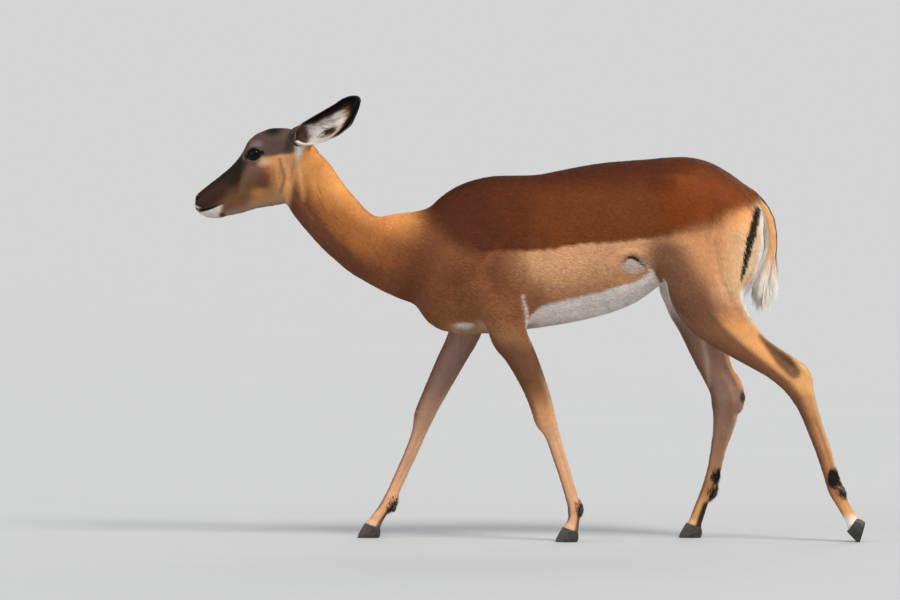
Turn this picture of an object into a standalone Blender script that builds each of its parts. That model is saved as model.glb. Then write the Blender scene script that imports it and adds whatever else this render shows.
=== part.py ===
"""Impala ewe, life size, walking: a still museum model made of faceted solids.

The animal faces -X with its left side towards -Y, and stands on the plane Z = 0. All lengths are metres.
The flesh is built as clay: lofts and lumps that overlap are melted into one body, smoothed, reduced to facets,
and then parted by thin saw cuts into head, neck, trunk and legs.
"""
import math

import bmesh
import bpy
import numpy as np
from mathutils import Matrix, Vector

# ---- driving sizes -------------------------------------------------------------------------------------
midLength = -0.0006          # X shift that centres the finished animal over the origin
clayGrain = 0.0050          # edge length of the melted clay before it is reduced
fleshFacets = 4700          # triangles left in the flesh after reducing
sawWidth = 0.0004           # thickness of the cuts that part the flesh
clearance = 0.0004          # gap between an eye, ear, hoof or tail and the flesh that holds it
eyeRadius = 0.0168
eyeSpot = (-0.6395, 0.0402, 0.9020)     # centre of the right eyeball; the left one is mirrored
sideName = {-1: "left", 1: "right"}     # the sign of Y tells the side


# ---- curves and clay shapes ----------------------------------------------------------------------------
def evenCurve(rows, count):
    """Rows between the given stations, on a curve that never overshoots them; the first three columns set the pace."""
    rows = np.array(rows, float)
    step = np.linalg.norm(np.diff(rows[:, :3], axis=0), axis=1)
    at = np.concatenate([[0.0], np.cumsum(step)])
    slope = np.diff(rows, axis=0) / step[:, None]
    tangent = np.vstack([slope[:1], np.zeros((len(rows) - 2, rows.shape[1])), slope[-1:]])
    for i in range(1, len(rows) - 1):
        before, after = slope[i - 1], slope[i]
        same = before * after > 0
        weightA = 2 * step[i] + step[i - 1]
        weightB = step[i] + 2 * step[i - 1]
        safeBefore = np.where(same, before, 1.0)
        safeAfter = np.where(same, after, 1.0)
        tangent[i] = np.where(same, (weightA + weightB) / (weightA / safeBefore + weightB / safeAfter), 0.0)
    out = []
    for t in np.linspace(0.0, at[-1], count):
        i = min(int(np.searchsorted(at, t, side="right")) - 1, len(step) - 1)
        h = step[i]
        u = (t - at[i]) / h
        out.append((2 * u**3 - 3 * u**2 + 1) * rows[i] + (u**3 - 2 * u**2 + u) * h * tangent[i]
                   + (3 * u**2 - 2 * u**3) * rows[i + 1] + (u**3 - u**2) * h * tangent[i + 1])
    return np.array(out)


def sectionRing(centre, up, halfUp, halfDown, halfWidth, roundUp, roundDown, sides):
    """Points of one closed cross-section: a round form whose upper and lower halves have their own height and fullness."""
    ring = []
    for k in range(sides):
        a = 2 * math.pi * (k + 0.5) / sides
        c, s = math.cos(a), math.sin(a)
        fullness = roundUp if s >= 0 else roundDown
        across = halfWidth * math.copysign(abs(c) ** (2 / fullness), c)
        along = (halfUp if s >= 0 else halfDown) * math.copysign(abs(s) ** (2 / fullness), s)
        ring.append(Vector(centre) + up * along + Vector((0, 1, 0)) * across)
    return ring


def addSkinOver(clay, rings):
    """Joins rings of points into one closed tube in the bmesh."""
    loops = [[clay.verts.new(p) for p in ring] for ring in rings]
    sides = len(loops[0])
    made = []
    for a, b in zip(loops, loops[1:]):
        made += [clay.faces.new((a[k], a[(k + 1) % sides], b[(k + 1) % sides], b[k])) for k in range(sides)]
    made += [clay.faces.new(loops[0][::-1]), clay.faces.new(loops[-1])]
    bmesh.ops.recalc_face_normals(clay, faces=made)


def addBarrel(clay, stations, y=0.0, rings=40, sides=40):
    """A loft of upright sections. A station is x, top, bottom, half width, height of the widest line as a share, and how full
    the top and bottom are (2 is an ellipse, less is keeled, more is square)."""
    rows = [(x, 0.0, bottom + (top - bottom) * widest, top, bottom, half, fullTop, fullBottom)
            for x, top, bottom, half, widest, fullTop, fullBottom in stations]
    loops = []
    for x, _, middle, top, bottom, half, fullTop, fullBottom in evenCurve(rows, rings):
        loops.append(sectionRing((x, y, middle), Vector((0, 0, 1)), top - middle, middle - bottom, half,
                                 fullTop, fullBottom, sides))
    addSkinOver(clay, loops)


def addLimb(clay, stations, side=1, rings=36, sides=24, full=2.0):
    """A loft of sections square to its path. A station is x, z, half depth in front, half depth behind, half width, distance
    from the midline."""
    rows = evenCurve([(x, y * side, z, front, back, half) for x, z, front, back, half, y in stations], rings)
    centres = rows[:, :3]
    tangents = np.gradient(centres, axis=0)
    loops = []
    for centre, t, (front, back, half) in zip(centres, tangents, rows[:, 3:]):
        ahead = Vector((0, 1, 0)).cross(Vector(t)).normalized()
        loops.append(sectionRing(centre, ahead, front, back, half, full, full, sides))
    addSkinOver(clay, loops)


def addLump(clay, centre, radii, tilt=0.0, turn=0.0, lean=0.0, side=1):
    """An ellipsoid of muscle or bone. Tilt tips its top towards the tail, turn swings its rear outwards, and lean tips its
    top towards the midline."""
    place = Matrix.Translation((centre[0], centre[1] * side, centre[2]))
    place = place @ Matrix.Rotation(math.radians(lean * side), 4, "X")
    place = place @ Matrix.Rotation(math.radians(turn * side), 4, "Z")
    place = place @ Matrix.Rotation(math.radians(tilt), 4, "Y")
    place = place @ Matrix.Diagonal((*radii, 1.0))
    bmesh.ops.create_icosphere(clay, subdivisions=3, radius=1.0, matrix=place)


def addPair(clay, centre, radii, tilt=0.0, turn=0.0, lean=0.0):
    for side in (-1, 1):
        addLump(clay, centre, radii, tilt, turn, lean, side)


# ---- the animal's forms --------------------------------------------------------------------------------
def addTrunk(clay):
    addBarrel(clay, [
        # x, top, bottom, half width, widest share, fullness above and below
        (-0.270, 0.690, 0.556, 0.034, 0.50, 2.0, 2.0),     # breast
        (-0.262, 0.735, 0.541, 0.050, 0.46, 2.0, 2.0),
        (-0.240, 0.772, 0.509, 0.067, 0.42, 1.9, 1.9),
        (-0.205, 0.809, 0.488, 0.081, 0.43, 1.8, 1.9),     # point of shoulder
        (-0.150, 0.841, 0.480, 0.093, 0.43, 1.6, 1.9),     # withers in front
        (-0.080, 0.856, 0.482, 0.102, 0.43, 1.65, 1.9),     # elbow and girth
        (0.000, 0.856, 0.492, 0.112, 0.43, 1.8, 2.0),
        (0.080, 0.869, 0.504, 0.120, 0.43, 1.9, 2.1),      # last ribs
        (0.160, 0.883, 0.521, 0.121, 0.44, 2.0, 2.1),      # paunch
        (0.220, 0.889, 0.540, 0.115, 0.47, 2.0, 2.1),
        (0.265, 0.892, 0.563, 0.106, 0.50, 2.0, 2.1),      # flank
        (0.310, 0.896, 0.596, 0.099, 0.55, 2.0, 2.0),
        (0.360, 0.899, 0.615, 0.098, 0.62, 2.0, 2.0),      # croup
        (0.415, 0.889, 0.592, 0.092, 0.60, 2.0, 2.0),
        (0.465, 0.864, 0.602, 0.080, 0.58, 1.9, 2.0),
        (0.510, 0.832, 0.640, 0.058, 0.55, 1.9, 2.0),      # pin bones
        (0.543, 0.812, 0.700, 0.028, 0.55, 2.0, 2.0),
    ], rings=60, sides=48)
    addPair(clay, (0.325, 0.066, 0.838), (0.062, 0.026, 0.026), tilt=12, lean=20)      # point of hip
    addPair(clay, (0.425, 0.050, 0.795), (0.105, 0.042, 0.070), tilt=28, lean=16)      # rump muscle
    addPair(clay, (0.518, 0.042, 0.748), (0.032, 0.022, 0.046), tilt=-6, lean=4)       # pin bone
    for side, swing in ((-1, 0.0), (1, -0.040)):       # the right shoulder swings ahead with its leg
        addLump(clay, (-0.128 + swing * 0.3, 0.069, 0.705), (0.050, 0.020, 0.112), 26, 6, 19, side)    # shoulder blade
        addLump(clay, (-0.065 + swing * 0.8, 0.083, 0.640), (0.050, 0.020, 0.085), -14, 4, 8, side)    # triceps
        addLump(clay, (-0.135 + swing * 0.8, 0.068, 0.592), (0.085, 0.024, 0.046), 10, 14, 0, side)     # upper arm


def addNeck(clay):
    addLimb(clay, [
        # x, z, half depth above, half depth below, half width, y
        (-0.565, 0.880, 0.040, 0.040, 0.036, 0.0),
        (-0.528, 0.853, 0.066, 0.071, 0.042, 0.0),         # throat
        (-0.489, 0.798, 0.069, 0.073, 0.044, 0.0),
        (-0.451, 0.752, 0.070, 0.072, 0.044, 0.0),
        (-0.413, 0.711, 0.071, 0.071, 0.046, 0.0),
        (-0.371, 0.684, 0.080, 0.080, 0.052, 0.0),
        (-0.322, 0.674, 0.094, 0.100, 0.064, 0.0),
        (-0.262, 0.670, 0.102, 0.118, 0.081, 0.0),         # root of the neck
        (-0.190, 0.670, 0.120, 0.120, 0.080, 0.0),
    ][::-1], rings=44, sides=36)


def addHead(clay):
    addBarrel(clay, [
        (-0.7820, 0.8060, 0.7740, 0.0150, 0.50, 2.2, 2.2),   # tip of the nose
        (-0.7740, 0.8125, 0.7665, 0.0215, 0.45, 2.2, 2.2),
        (-0.7600, 0.8245, 0.7570, 0.0255, 0.42, 2.2, 2.3),   # nostrils
        (-0.7430, 0.8380, 0.7520, 0.0265, 0.40, 2.1, 2.3),   # lips
        (-0.7240, 0.8530, 0.7520, 0.0262, 0.40, 2.0, 2.2),
        (-0.7050, 0.8685, 0.7575, 0.0275, 0.42, 2.0, 2.0),   # corner of the mouth
        (-0.6860, 0.8870, 0.7605, 0.0335, 0.50, 2.0, 1.9),
        (-0.6690, 0.9100, 0.7635, 0.0405, 0.60, 2.1, 1.8),
        (-0.6560, 0.9360, 0.7665, 0.0455, 0.68, 2.2, 1.8),   # brow
        (-0.6380, 0.9505, 0.7710, 0.0485, 0.72, 2.2, 1.85),
        (-0.6170, 0.9580, 0.7755, 0.0480, 0.70, 2.1, 1.9),
        (-0.5960, 0.9640, 0.7800, 0.0455, 0.66, 2.1, 1.8),   # crown
        (-0.5730, 0.9650, 0.7860, 0.0440, 0.62, 2.0, 1.9),
        (-0.5500, 0.9610, 0.8010, 0.0420, 0.60, 2.0, 2.0),
        (-0.5260, 0.9460, 0.8300, 0.0360, 0.55, 2.0, 2.0),   # poll
        (-0.5080, 0.9290, 0.8550, 0.0280, 0.50, 2.0, 2.0),
        (-0.4950, 0.9145, 0.8600, 0.0220, 0.50, 2.0, 2.0),
    ], rings=64, sides=40)
    addPair(clay, (-0.6400, 0.0380, 0.9080), (0.0290, 0.0150, 0.0215), tilt=-12)   # eye socket
    addPair(clay, (-0.5990, 0.0255, 0.8350), (0.0460, 0.0130, 0.0320), tilt=-15, lean=-12)   # cheek muscle
    addPair(clay, (-0.5310, 0.0330, 0.9330), (0.0230, 0.0165, 0.0190))             # root of the ear
    addPair(clay, (-0.5450, 0.0385, 0.9600), (0.0260, 0.0120, 0.0140), tilt=-38, turn=24)    # gristle in front of it


# Station rows of the legs: x, z, half depth in front, half depth behind, half width, distance from the midline.
foreLeg = {
    -1: [   # left, at the end of its stride
        (-0.0760, 0.6000, 0.0560, 0.0560, 0.0280, 0.0700),
        (-0.0560, 0.5300, 0.0540, 0.0520, 0.0340, 0.0740),   # elbow
        (-0.0463, 0.4813, 0.0470, 0.0440, 0.0330, 0.0740),
        (-0.0253, 0.4446, 0.0390, 0.0385, 0.0290, 0.0730),
        (-0.0005, 0.3924, 0.0325, 0.0325, 0.0250, 0.0720),
        (0.0204, 0.3400, 0.0285, 0.0295, 0.0215, 0.0710),
        (0.0310, 0.3080, 0.0275, 0.0275, 0.0215, 0.0710),    # knee
        (0.0376, 0.2860, 0.0275, 0.0255, 0.0215, 0.0710),
        (0.0470, 0.2640, 0.0215, 0.0220, 0.0185, 0.0710),
        (0.0550, 0.2440, 0.0180, 0.0185, 0.0150, 0.0705),
        (0.0707, 0.1950, 0.0168, 0.0172, 0.0130, 0.0700),
        (0.0880, 0.1400, 0.0158, 0.0162, 0.0130, 0.0700),
        (0.0985, 0.1020, 0.0155, 0.0165, 0.0150, 0.0700),
        (0.1045, 0.0800, 0.0160, 0.0185, 0.0175, 0.0700),    # fetlock
        (0.1040, 0.0560, 0.0140, 0.0150, 0.0165, 0.0700),
        (0.0990, 0.0360, 0.0170, 0.0170, 0.0190, 0.0700),    # coronet
        (0.0940, 0.0180, 0.0160, 0.0160, 0.0190, 0.0700),
    ],
    1: [    # right, reaching forward
        (-0.1350, 0.6000, 0.0560, 0.0560, 0.0280, 0.0700),
        (-0.1420, 0.5250, 0.0470, 0.0500, 0.0340, 0.0740),
        (-0.1544, 0.4750, 0.0380, 0.0400, 0.0330, 0.0740),
        (-0.1708, 0.4410, 0.0350, 0.0350, 0.0290, 0.0730),
        (-0.1933, 0.3964, 0.0320, 0.0320, 0.0250, 0.0720),
        (-0.2216, 0.3400, 0.0280, 0.0285, 0.0215, 0.0710),
        (-0.2350, 0.3120, 0.0262, 0.0262, 0.0215, 0.0710),
        (-0.2440, 0.2900, 0.0260, 0.0245, 0.0215, 0.0710),
        (-0.2520, 0.2670, 0.0215, 0.0215, 0.0185, 0.0710),
        (-0.2590, 0.2450, 0.0180, 0.0185, 0.0150, 0.0705),
        (-0.2780, 0.1980, 0.0160, 0.0165, 0.0130, 0.0700),
        (-0.3030, 0.1430, 0.0152, 0.0158, 0.0130, 0.0700),
        (-0.3190, 0.1070, 0.0150, 0.0162, 0.0150, 0.0700),
        (-0.3290, 0.0850, 0.0165, 0.0188, 0.0180, 0.0700),
        (-0.3460, 0.0600, 0.0142, 0.0148, 0.0165, 0.0700),
        (-0.3610, 0.0380, 0.0168, 0.0168, 0.0190, 0.0700),
        (-0.3730, 0.0190, 0.0160, 0.0160, 0.0190, 0.0700),
    ],
}
hindLeg = {
    -1: [   # left, pushing off
        (0.4300, 0.8000, 0.0900, 0.1020, 0.0380, 0.0520),
        (0.4200, 0.7200, 0.1060, 0.1300, 0.0470, 0.0550),
        (0.4165, 0.6545, 0.1080, 0.1215, 0.0490, 0.0590),    # thigh
        (0.4120, 0.5950, 0.0960, 0.0985, 0.0470, 0.0630),
        (0.4270, 0.5430, 0.0800, 0.0800, 0.0410, 0.0680),    # stifle
        (0.4560, 0.5050, 0.0620, 0.0540, 0.0360, 0.0720),
        (0.4920, 0.4700, 0.0470, 0.0360, 0.0310, 0.0740),    # gaskin
        (0.5350, 0.4350, 0.0360, 0.0240, 0.0250, 0.0740),
        (0.5780, 0.4020, 0.0290, 0.0220, 0.0215, 0.0740),
        (0.6120, 0.3740, 0.0290, 0.0260, 0.0220, 0.0740),
        (0.6330, 0.3480, 0.0290, 0.0300, 0.0225, 0.0740),    # hock
        (0.6470, 0.3168, 0.0240, 0.0250, 0.0190, 0.0740),
        (0.6670, 0.2614, 0.0205, 0.0210, 0.0150, 0.0740),
        (0.6860, 0.2100, 0.0195, 0.0200, 0.0140, 0.0740),
        (0.7008, 0.1596, 0.0175, 0.0185, 0.0140, 0.0740),
        (0.7130, 0.1200, 0.0170, 0.0200, 0.0170, 0.0740),    # fetlock
        (0.7300, 0.0870, 0.0145, 0.0160, 0.0165, 0.0740),
        (0.7465, 0.0590, 0.0150, 0.0160, 0.0180, 0.0740),    # coronet
        (0.7560, 0.0400, 0.0160, 0.0160, 0.0190, 0.0740),
        (0.7640, 0.0240, 0.0150, 0.0150, 0.0190, 0.0740),
    ],
    1: [    # right, under the body
        (0.4000, 0.8000, 0.0800, 0.1320, 0.0380, 0.0520),
        (0.3950, 0.7200, 0.1000, 0.1540, 0.0470, 0.0550),
        (0.3900, 0.6545, 0.0980, 0.1330, 0.0490, 0.0590),
        (0.3860, 0.5950, 0.0800, 0.1030, 0.0470, 0.0630),
        (0.3880, 0.5400, 0.0660, 0.0800, 0.0410, 0.0680),
        (0.3960, 0.4950, 0.0470, 0.0560, 0.0350, 0.0720),
        (0.4060, 0.4550, 0.0360, 0.0420, 0.0300, 0.0740),
        (0.4180, 0.4200, 0.0300, 0.0290, 0.0250, 0.0740),
        (0.4370, 0.3800, 0.0280, 0.0240, 0.0215, 0.0740),
        (0.4540, 0.3480, 0.0300, 0.0280, 0.0220, 0.0740),
        (0.4600, 0.3200, 0.0310, 0.0320, 0.0225, 0.0740),
        (0.4590, 0.2880, 0.0270, 0.0335, 0.0190, 0.0740),
        (0.4540, 0.2500, 0.0225, 0.0275, 0.0155, 0.0740),
        (0.4460, 0.2080, 0.0195, 0.0200, 0.0140, 0.0740),
        (0.4370, 0.1630, 0.0175, 0.0180, 0.0140, 0.0740),
        (0.4240, 0.1180, 0.0170, 0.0200, 0.0170, 0.0740),
        (0.4080, 0.0820, 0.0145, 0.0155, 0.0165, 0.0740),
        (0.3975, 0.0520, 0.0160, 0.0165, 0.0185, 0.0740),    # coronet
        (0.3910, 0.0340, 0.0165, 0.0165, 0.0190, 0.0740),
        (0.3860, 0.0180, 0.0155, 0.0155, 0.0190, 0.0740),
    ],
}
# Heel cords: x, z, half depth, half width. The last station is the point of the hock.
heelCord = {
    -1: [(0.4700, 0.5800, 0.0260, 0.0300), (0.5050, 0.5180, 0.0170, 0.0190), (0.5460, 0.4700, 0.0130, 0.0130), (0.5900, 0.4390, 0.0100, 0.0100),
         (0.6270, 0.4120, 0.0115, 0.0105), (0.6440, 0.3880, 0.0150, 0.0130), (0.6480, 0.3550, 0.0160, 0.0140)],
    1: [(0.4250, 0.5600, 0.0260, 0.0300), (0.4440, 0.4950, 0.0170, 0.0190), (0.4560, 0.4450, 0.0130, 0.0130), (0.4700, 0.4020, 0.0100, 0.0100),
        (0.4940, 0.3560, 0.0115, 0.0105), (0.4970, 0.3320, 0.0140, 0.0130), (0.4890, 0.2980, 0.0150, 0.0140)],
}


def addLegs(clay):
    for side in (-1, 1):
        addLimb(clay, foreLeg[side], side, rings=60, full=2.1)
        addLimb(clay, hindLeg[side], side, rings=66, full=2.1)
        cord = [(x, z, half, half, width, 0.074) for x, z, half, width in heelCord[side]]
        addLimb(clay, cord, side, rings=20, sides=16)
        web = [(x - 0.018, z - 0.014, 0.020, 0.012, 0.0070, 0.074) for x, z, half, width in heelCord[side][1:]]
        addLimb(clay, web, side, rings=20, sides=16)
        hipX = 0.392 if side < 0 else 0.372
        addLump(clay, (hipX, 0.062, 0.600), (0.070, 0.042, 0.075), tilt=25, side=side)      # front of the thigh


# ---- melting, smoothing and reducing -------------------------------------------------------------------
def meltedClay(clay, grain):
    """One closed surface over all the shapes in the bmesh."""
    mesh = bpy.data.meshes.new("clay")
    clay.to_mesh(mesh)
    clay.free()
    lump = bpy.data.objects.new("clay", mesh)
    bpy.context.collection.objects.link(lump)
    melt = lump.modifiers.new("melt", "REMESH")
    melt.mode = "VOXEL"
    melt.voxel_size = grain
    graph = bpy.context.evaluated_depsgraph_get()
    melted = bpy.data.meshes.new_from_object(lump.evaluated_get(graph))
    bpy.data.objects.remove(lump)
    bpy.data.meshes.remove(mesh)
    return melted


def ramp(value, low, high):
    """0 below low, 1 above high, and a smooth step between them."""
    t = np.clip((value - low) / (high - low), 0.0, 1.0)
    return t * t * (3 - 2 * t)


def meshArrays(mesh):
    points = np.empty(len(mesh.vertices) * 3, np.float32)
    mesh.vertices.foreach_get("co", points)
    edges = np.empty(len(mesh.edges) * 2, np.int32)
    mesh.edges.foreach_get("vertices", edges)
    return points.reshape(-1, 3).astype(float), edges.reshape(-1, 2)


def relax(points, edges, rounds, weight):
    """Laplacian smoothing, where weight says how much of it each point takes."""
    count = len(points)
    ends = np.concatenate([edges[:, 0], edges[:, 1]])
    others = np.concatenate([edges[:, 1], edges[:, 0]])
    degree = np.maximum(np.bincount(ends, minlength=count), 1)
    for _ in range(rounds):
        mean = np.stack([np.bincount(ends, weights=points[others, k], minlength=count) for k in range(3)], axis=1)
        points = points + weight[:, None] * 0.5 * (mean / degree[:, None] - points)
    return points


def blendWeight(points):
    """Where the clay takes the broad smoothing that melts muscles together: the trunk and the tops of the legs."""
    x, z = points[:, 0], points[:, 2]
    trunk = ramp(z, 0.42, 0.52) * ramp(x, -0.50, -0.40)
    return trunk


def smoothedClay(mesh, grain):
    points, edges = meshArrays(mesh)
    broad = int(round(60 * (0.004 / grain) ** 2))
    fine = max(3, int(round(8 * (0.004 / grain) ** 2)))
    points = relax(points, edges, fine, np.ones(len(points)))
    points = relax(points, edges, broad, blendWeight(points))
    mesh.vertices.foreach_set("co", points.astype(np.float32).ravel())
    mesh.update()
    return mesh


def fleshClay():
    clay = bmesh.new()
    addTrunk(clay)
    addNeck(clay)
    addHead(clay)
    addLegs(clay)
    return clay


# ---- small parts ---------------------------------------------------------------------------------------
def meshBetween(rings):
    """A bmesh tube through rings of points, with flat ends."""
    shape = bmesh.new()
    addSkinOver(shape, [[Vector(p) for p in ring] for ring in rings])
    return shape


# Ears: share of the length, radius of the cup, how far round the upper edge and the lower edge roll (degrees).
earLength = 0.1910
earWall = 0.0030
earCup = [
    (0.00, 0.0160, 172, 172), (0.08, 0.0200, 150, 158), (0.20, 0.0265, 114, 120), (0.35, 0.0325, 72, 96),
    (0.50, 0.0375, 54, 90), (0.65, 0.0420, 42, 90), (0.78, 0.0420, 38, 90), (0.88, 0.0315, 44, 88),
    (0.95, 0.0205, 48, 80), (1.00, 0.0080, 50, 60),
]
earRoot = (-0.5430, 0.0345, 0.9370)
earSag = 0.0085         # how far the ear's middle hangs below the straight line to its tip
earAim = {-1: (0.7696, 0.3937, 0.5026), 1: (0.7550, 0.3880, 0.5000)}      # the right ear is laid a little further back
earOpens = (-0.42, 0.89, -0.18)


def earFrame(side):
    """The ear's own directions: along it, the way its hollow faces, and across it."""
    aim = Vector(earAim[side]).normalized()
    opens = Vector(earOpens)
    opens = (opens - aim * opens.dot(aim)).normalized()
    across = opens.cross(aim).normalized()
    return aim, opens, across if across.z > 0 else -across


def earMesh(side):
    """A cupped leaf with a rolled, solid root: its back, then its hollow face, joined along the rim."""
    aim, opens, across = earFrame(side)
    loops = []
    rows = evenCurve([(u, 0.0, 0.0, r * 10, a / 500, b / 500) for u, r, a, b in earCup], 12)
    for share, radius, upper, lower in rows[:, [0, 3, 4, 5]]:
        radius, upper, lower = radius / 10, math.radians(upper * 500), math.radians(lower * 500)
        middle = Vector(earRoot) + aim * (share * earLength)
        middle += (opens * 0.010 - across * earSag) * math.sin(share * math.pi)
        hollow = max(0.0010, (radius - earWall) * min(1.0, share / 0.15))
        ring = []
        for r, order in ((radius, range(7)), (hollow, range(6, -1, -1))):
            for k in order:
                a = -lower + (upper + lower) * k / 6
                spot = middle + across * (r * math.sin(a)) + opens * (radius - r * math.cos(a))
                ring.append((spot.x, spot.y * side, spot.z))
        loops.append(ring)
    return meshBetween(loops)


def earSocket(side):
    """The round plug that clears the head for the root of the ear."""
    aim, opens, across = earFrame(side)
    loops = []
    for along, radius in ((-clearance, 0.0160), (0.0200, 0.0215), (0.0400, 0.0272)):
        middle = Vector(earRoot) + aim * along + opens * radius
        middle += (opens * 0.010 - across * earSag) * math.sin(along / earLength * math.pi)
        r = radius + 2 * clearance
        ring = [middle + across * (r * math.sin(k * math.pi / 6)) + opens * (r * math.cos(k * math.pi / 6))
                for k in range(12)]
        loops.append([(p.x, p.y * side, p.z) for p in ring])
    return meshBetween(loops)


# Tail: x, z, half depth, half width, down from the root to the end of its fringe.
tailRows = [
    (0.5340, 0.7980, 0.0110, 0.0140), (0.5470, 0.7800, 0.0145, 0.0170), (0.5585, 0.7530, 0.0160, 0.0200),
    (0.5640, 0.7200, 0.0165, 0.0220), (0.5650, 0.6850, 0.0165, 0.0235), (0.5600, 0.6550, 0.0170, 0.0250),
    (0.5530, 0.6250, 0.0215, 0.0270), (0.5480, 0.5950, 0.0270, 0.0280), (0.5450, 0.5700, 0.0270, 0.0240),
    (0.5420, 0.5450, 0.0210, 0.0170), (0.5400, 0.5280, 0.0130, 0.0100), (0.5400, 0.5170, 0.0050, 0.0040),
]


def tailMesh(swell=0.0):
    shape = bmesh.new()
    addLimb(shape, [(x, z, half + swell, half + swell, width + swell, 0.0) for x, z, half, width in tailRows],
            rings=13, sides=10)
    return shape


# Feet: x, z of the middle of the coronet, the foot's turn (degrees, toe down for plus), distance from the midline.
feet = {
    ("fore", -1): (0.0985, 0.0285, 0.0, 0.0700), ("fore", 1): (-0.3650, 0.0285, 0.0, 0.0700),
    ("hind", -1): (0.7520, 0.0410, 74.0, 0.0740), ("hind", 1): (0.3915, 0.0285, 0.0, 0.0740),
}
hoofLength = 0.0530
hoofWidth = 0.0200
coronetHeight = 0.0285
coronetSlope = math.radians(17)      # the coronet drops towards the heel
toeSplit = 0.0030                    # gap between the claws at the coronet; it widens towards the toes


def footFrame(foot):
    """Turns the foot's own frame, whose origin lies in the middle of the coronet and whose toe points to -X, into place."""
    x, z, turn, y = feet[foot]
    return Matrix.Translation((x, y * foot[1], z)) @ Matrix.Rotation(math.radians(-turn), 4, "Y")


def clawMesh(foot, inner):
    """One claw: a pointed wedge with a round heel, an upright inner wall and a sloping outer wall."""
    lift = 1 if inner else -1
    outward = -foot[1] if inner else foot[1]
    frame = footFrame(foot)
    rings = []
    for share, length, width, shift in ((0.0, 0.93, 0.97, -0.0128), (0.12, 0.96, 0.99, -0.0110),
                                        (0.55, 0.85, 0.95, -0.0060), (1.0, 0.66, 0.90, -0.0024)):
        ring = []
        for k in range(12):
            a = 2 * math.pi * k / 12
            x = -math.cos(a)                                         # -1 at the toe, 1 at the heel
            bulge = abs(math.sin(a)) ** 0.85
            taper = 0.5 + 0.5 * min(1.0, (x + 1.0) / 0.9)            # the toe narrows to a blunt point
            across = bulge * taper * math.copysign(1, math.sin(a))
            reach = width * hoofWidth * (0.5 + (0.5 if across > 0 else 0.44) * across)
            spread = toeSplit / 2 + 0.0016 * (1 - share) * (1 - x) / 2
            px = shift + x * length * hoofLength / 2
            top = -math.tan(coronetSlope) * px - clearance
            pz = -coronetHeight + share * (top + coronetHeight)
            ring.append(frame @ Vector((px, outward * (spread + reach), pz)))
        rings.append(ring)
    shape = meshBetween(rings)
    cut = bmesh.ops.bisect_plane(shape, geom=shape.verts[:] + shape.edges[:] + shape.faces[:], dist=1e-6,
                                 plane_co=(0, 0, 0), plane_no=(0, 0, 1), clear_inner=True)
    rim = [e for e in cut["geom_cut"] if isinstance(e, bmesh.types.BMEdge)]
    if rim:
        bmesh.ops.holes_fill(shape, edges=rim, sides=0)
    bmesh.ops.recalc_face_normals(shape, faces=shape.faces[:])
    return shape


# Dewclaws: x, z of the middle, distance from the midline of the leg, and the tilt of the point (degrees).
dewclaws = {("fore", -1): (0.1208, 0.0720, 14), ("fore", 1): (-0.3168, 0.0700, 12), ("hind", -1): (0.7314, 0.1172, -35),
            ("hind", 1): (0.4372, 0.1020, 18)}


def dewclawMesh(foot, inner, swell=0.0):
    x, z, tilt = dewclaws[foot]
    y = feet[foot][3] * foot[1] + (0.0095 if (inner == (foot[1] < 0)) else -0.0095)
    place = Matrix.Translation((x, y, z)) @ Matrix.Rotation(math.radians(tilt), 4, "Y")
    rings = []
    for height, radius in ((0.0080, 0.0028), (0.0035, 0.0052), (-0.0030, 0.0054), (-0.0095, 0.0020)):
        height += swell * (1 if height > 0 else -1)
        rings.append([place @ Vector(((radius + swell) * math.cos(k * math.pi / 3),
                                      (radius + swell) * 0.9 * math.sin(k * math.pi / 3), height)) for k in range(6)])
    return meshBetween(rings)


# ---- cutting and naming --------------------------------------------------------------------------------
def makeObject(name, shape):
    """Links a bmesh or a mesh to the scene as a named object."""
    if isinstance(shape, bmesh.types.BMesh):
        mesh = bpy.data.meshes.new(name)
        bmesh.ops.triangulate(shape, faces=shape.faces[:])
        shape.to_mesh(mesh)
        shape.free()
    else:
        mesh = shape
    thing = bpy.data.objects.new(name, mesh)
    bpy.context.collection.objects.link(thing)
    return thing


def applied(thing, modifier):
    """Bakes the one modifier into the object's mesh."""
    graph = bpy.context.evaluated_depsgraph_get()
    mesh = bpy.data.meshes.new_from_object(thing.evaluated_get(graph))
    thing.modifiers.remove(modifier)
    old = thing.data
    thing.data = mesh
    bpy.data.meshes.remove(old)


def subtract(thing, cutterShape):
    cutter = makeObject("cutter", cutterShape)
    cut = thing.modifiers.new("cut", "BOOLEAN")
    cut.operation = "DIFFERENCE"
    cut.solver = "EXACT"
    cut.object = cutter
    applied(thing, cut)
    bpy.data.objects.remove(cutter)


def addSlab(shape, middle, along, reach, depth):
    """A thin saw blade. Along is its direction in the side view, reach its half length, depth its half width in Y."""
    along = Vector((along[0], 0, along[1])).normalized()
    place = Matrix.Translation(middle) @ Matrix((
        (along.x, 0, -along.z, 0), (0, 1, 0, 0), (along.z, 0, along.x, 0), (0, 0, 0, 1)))
    place = place @ Matrix.Diagonal((2 * reach, 2 * depth, sawWidth, 1))
    bmesh.ops.create_cube(shape, size=1.0, matrix=place)


# Saw cuts: middle x, y, z; direction in the side view; half length; half width in Y.
sawCuts = [
    ((-0.5320, 0.0, 0.8470), (0.077, 0.131), 0.1100, 0.090),      # head from neck
    ((-0.2840, 0.0, 0.6750), (0.082, 0.208), 0.1500, 0.150),      # neck from trunk
    ((-0.0400, -0.0740, 0.4720), (1.0, 0.0), 0.0720, 0.060),      # left fore leg from trunk
    ((-0.1560, 0.0740, 0.4720), (1.0, 0.0), 0.0600, 0.060),       # right fore leg
    ((0.4350, -0.0700, 0.5660), (1.0, 0.0), 0.1300, 0.066),       # left hind leg
    ((0.4000, 0.0700, 0.5660), (1.0, 0.0), 0.1300, 0.066),        # right hind leg
]


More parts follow.
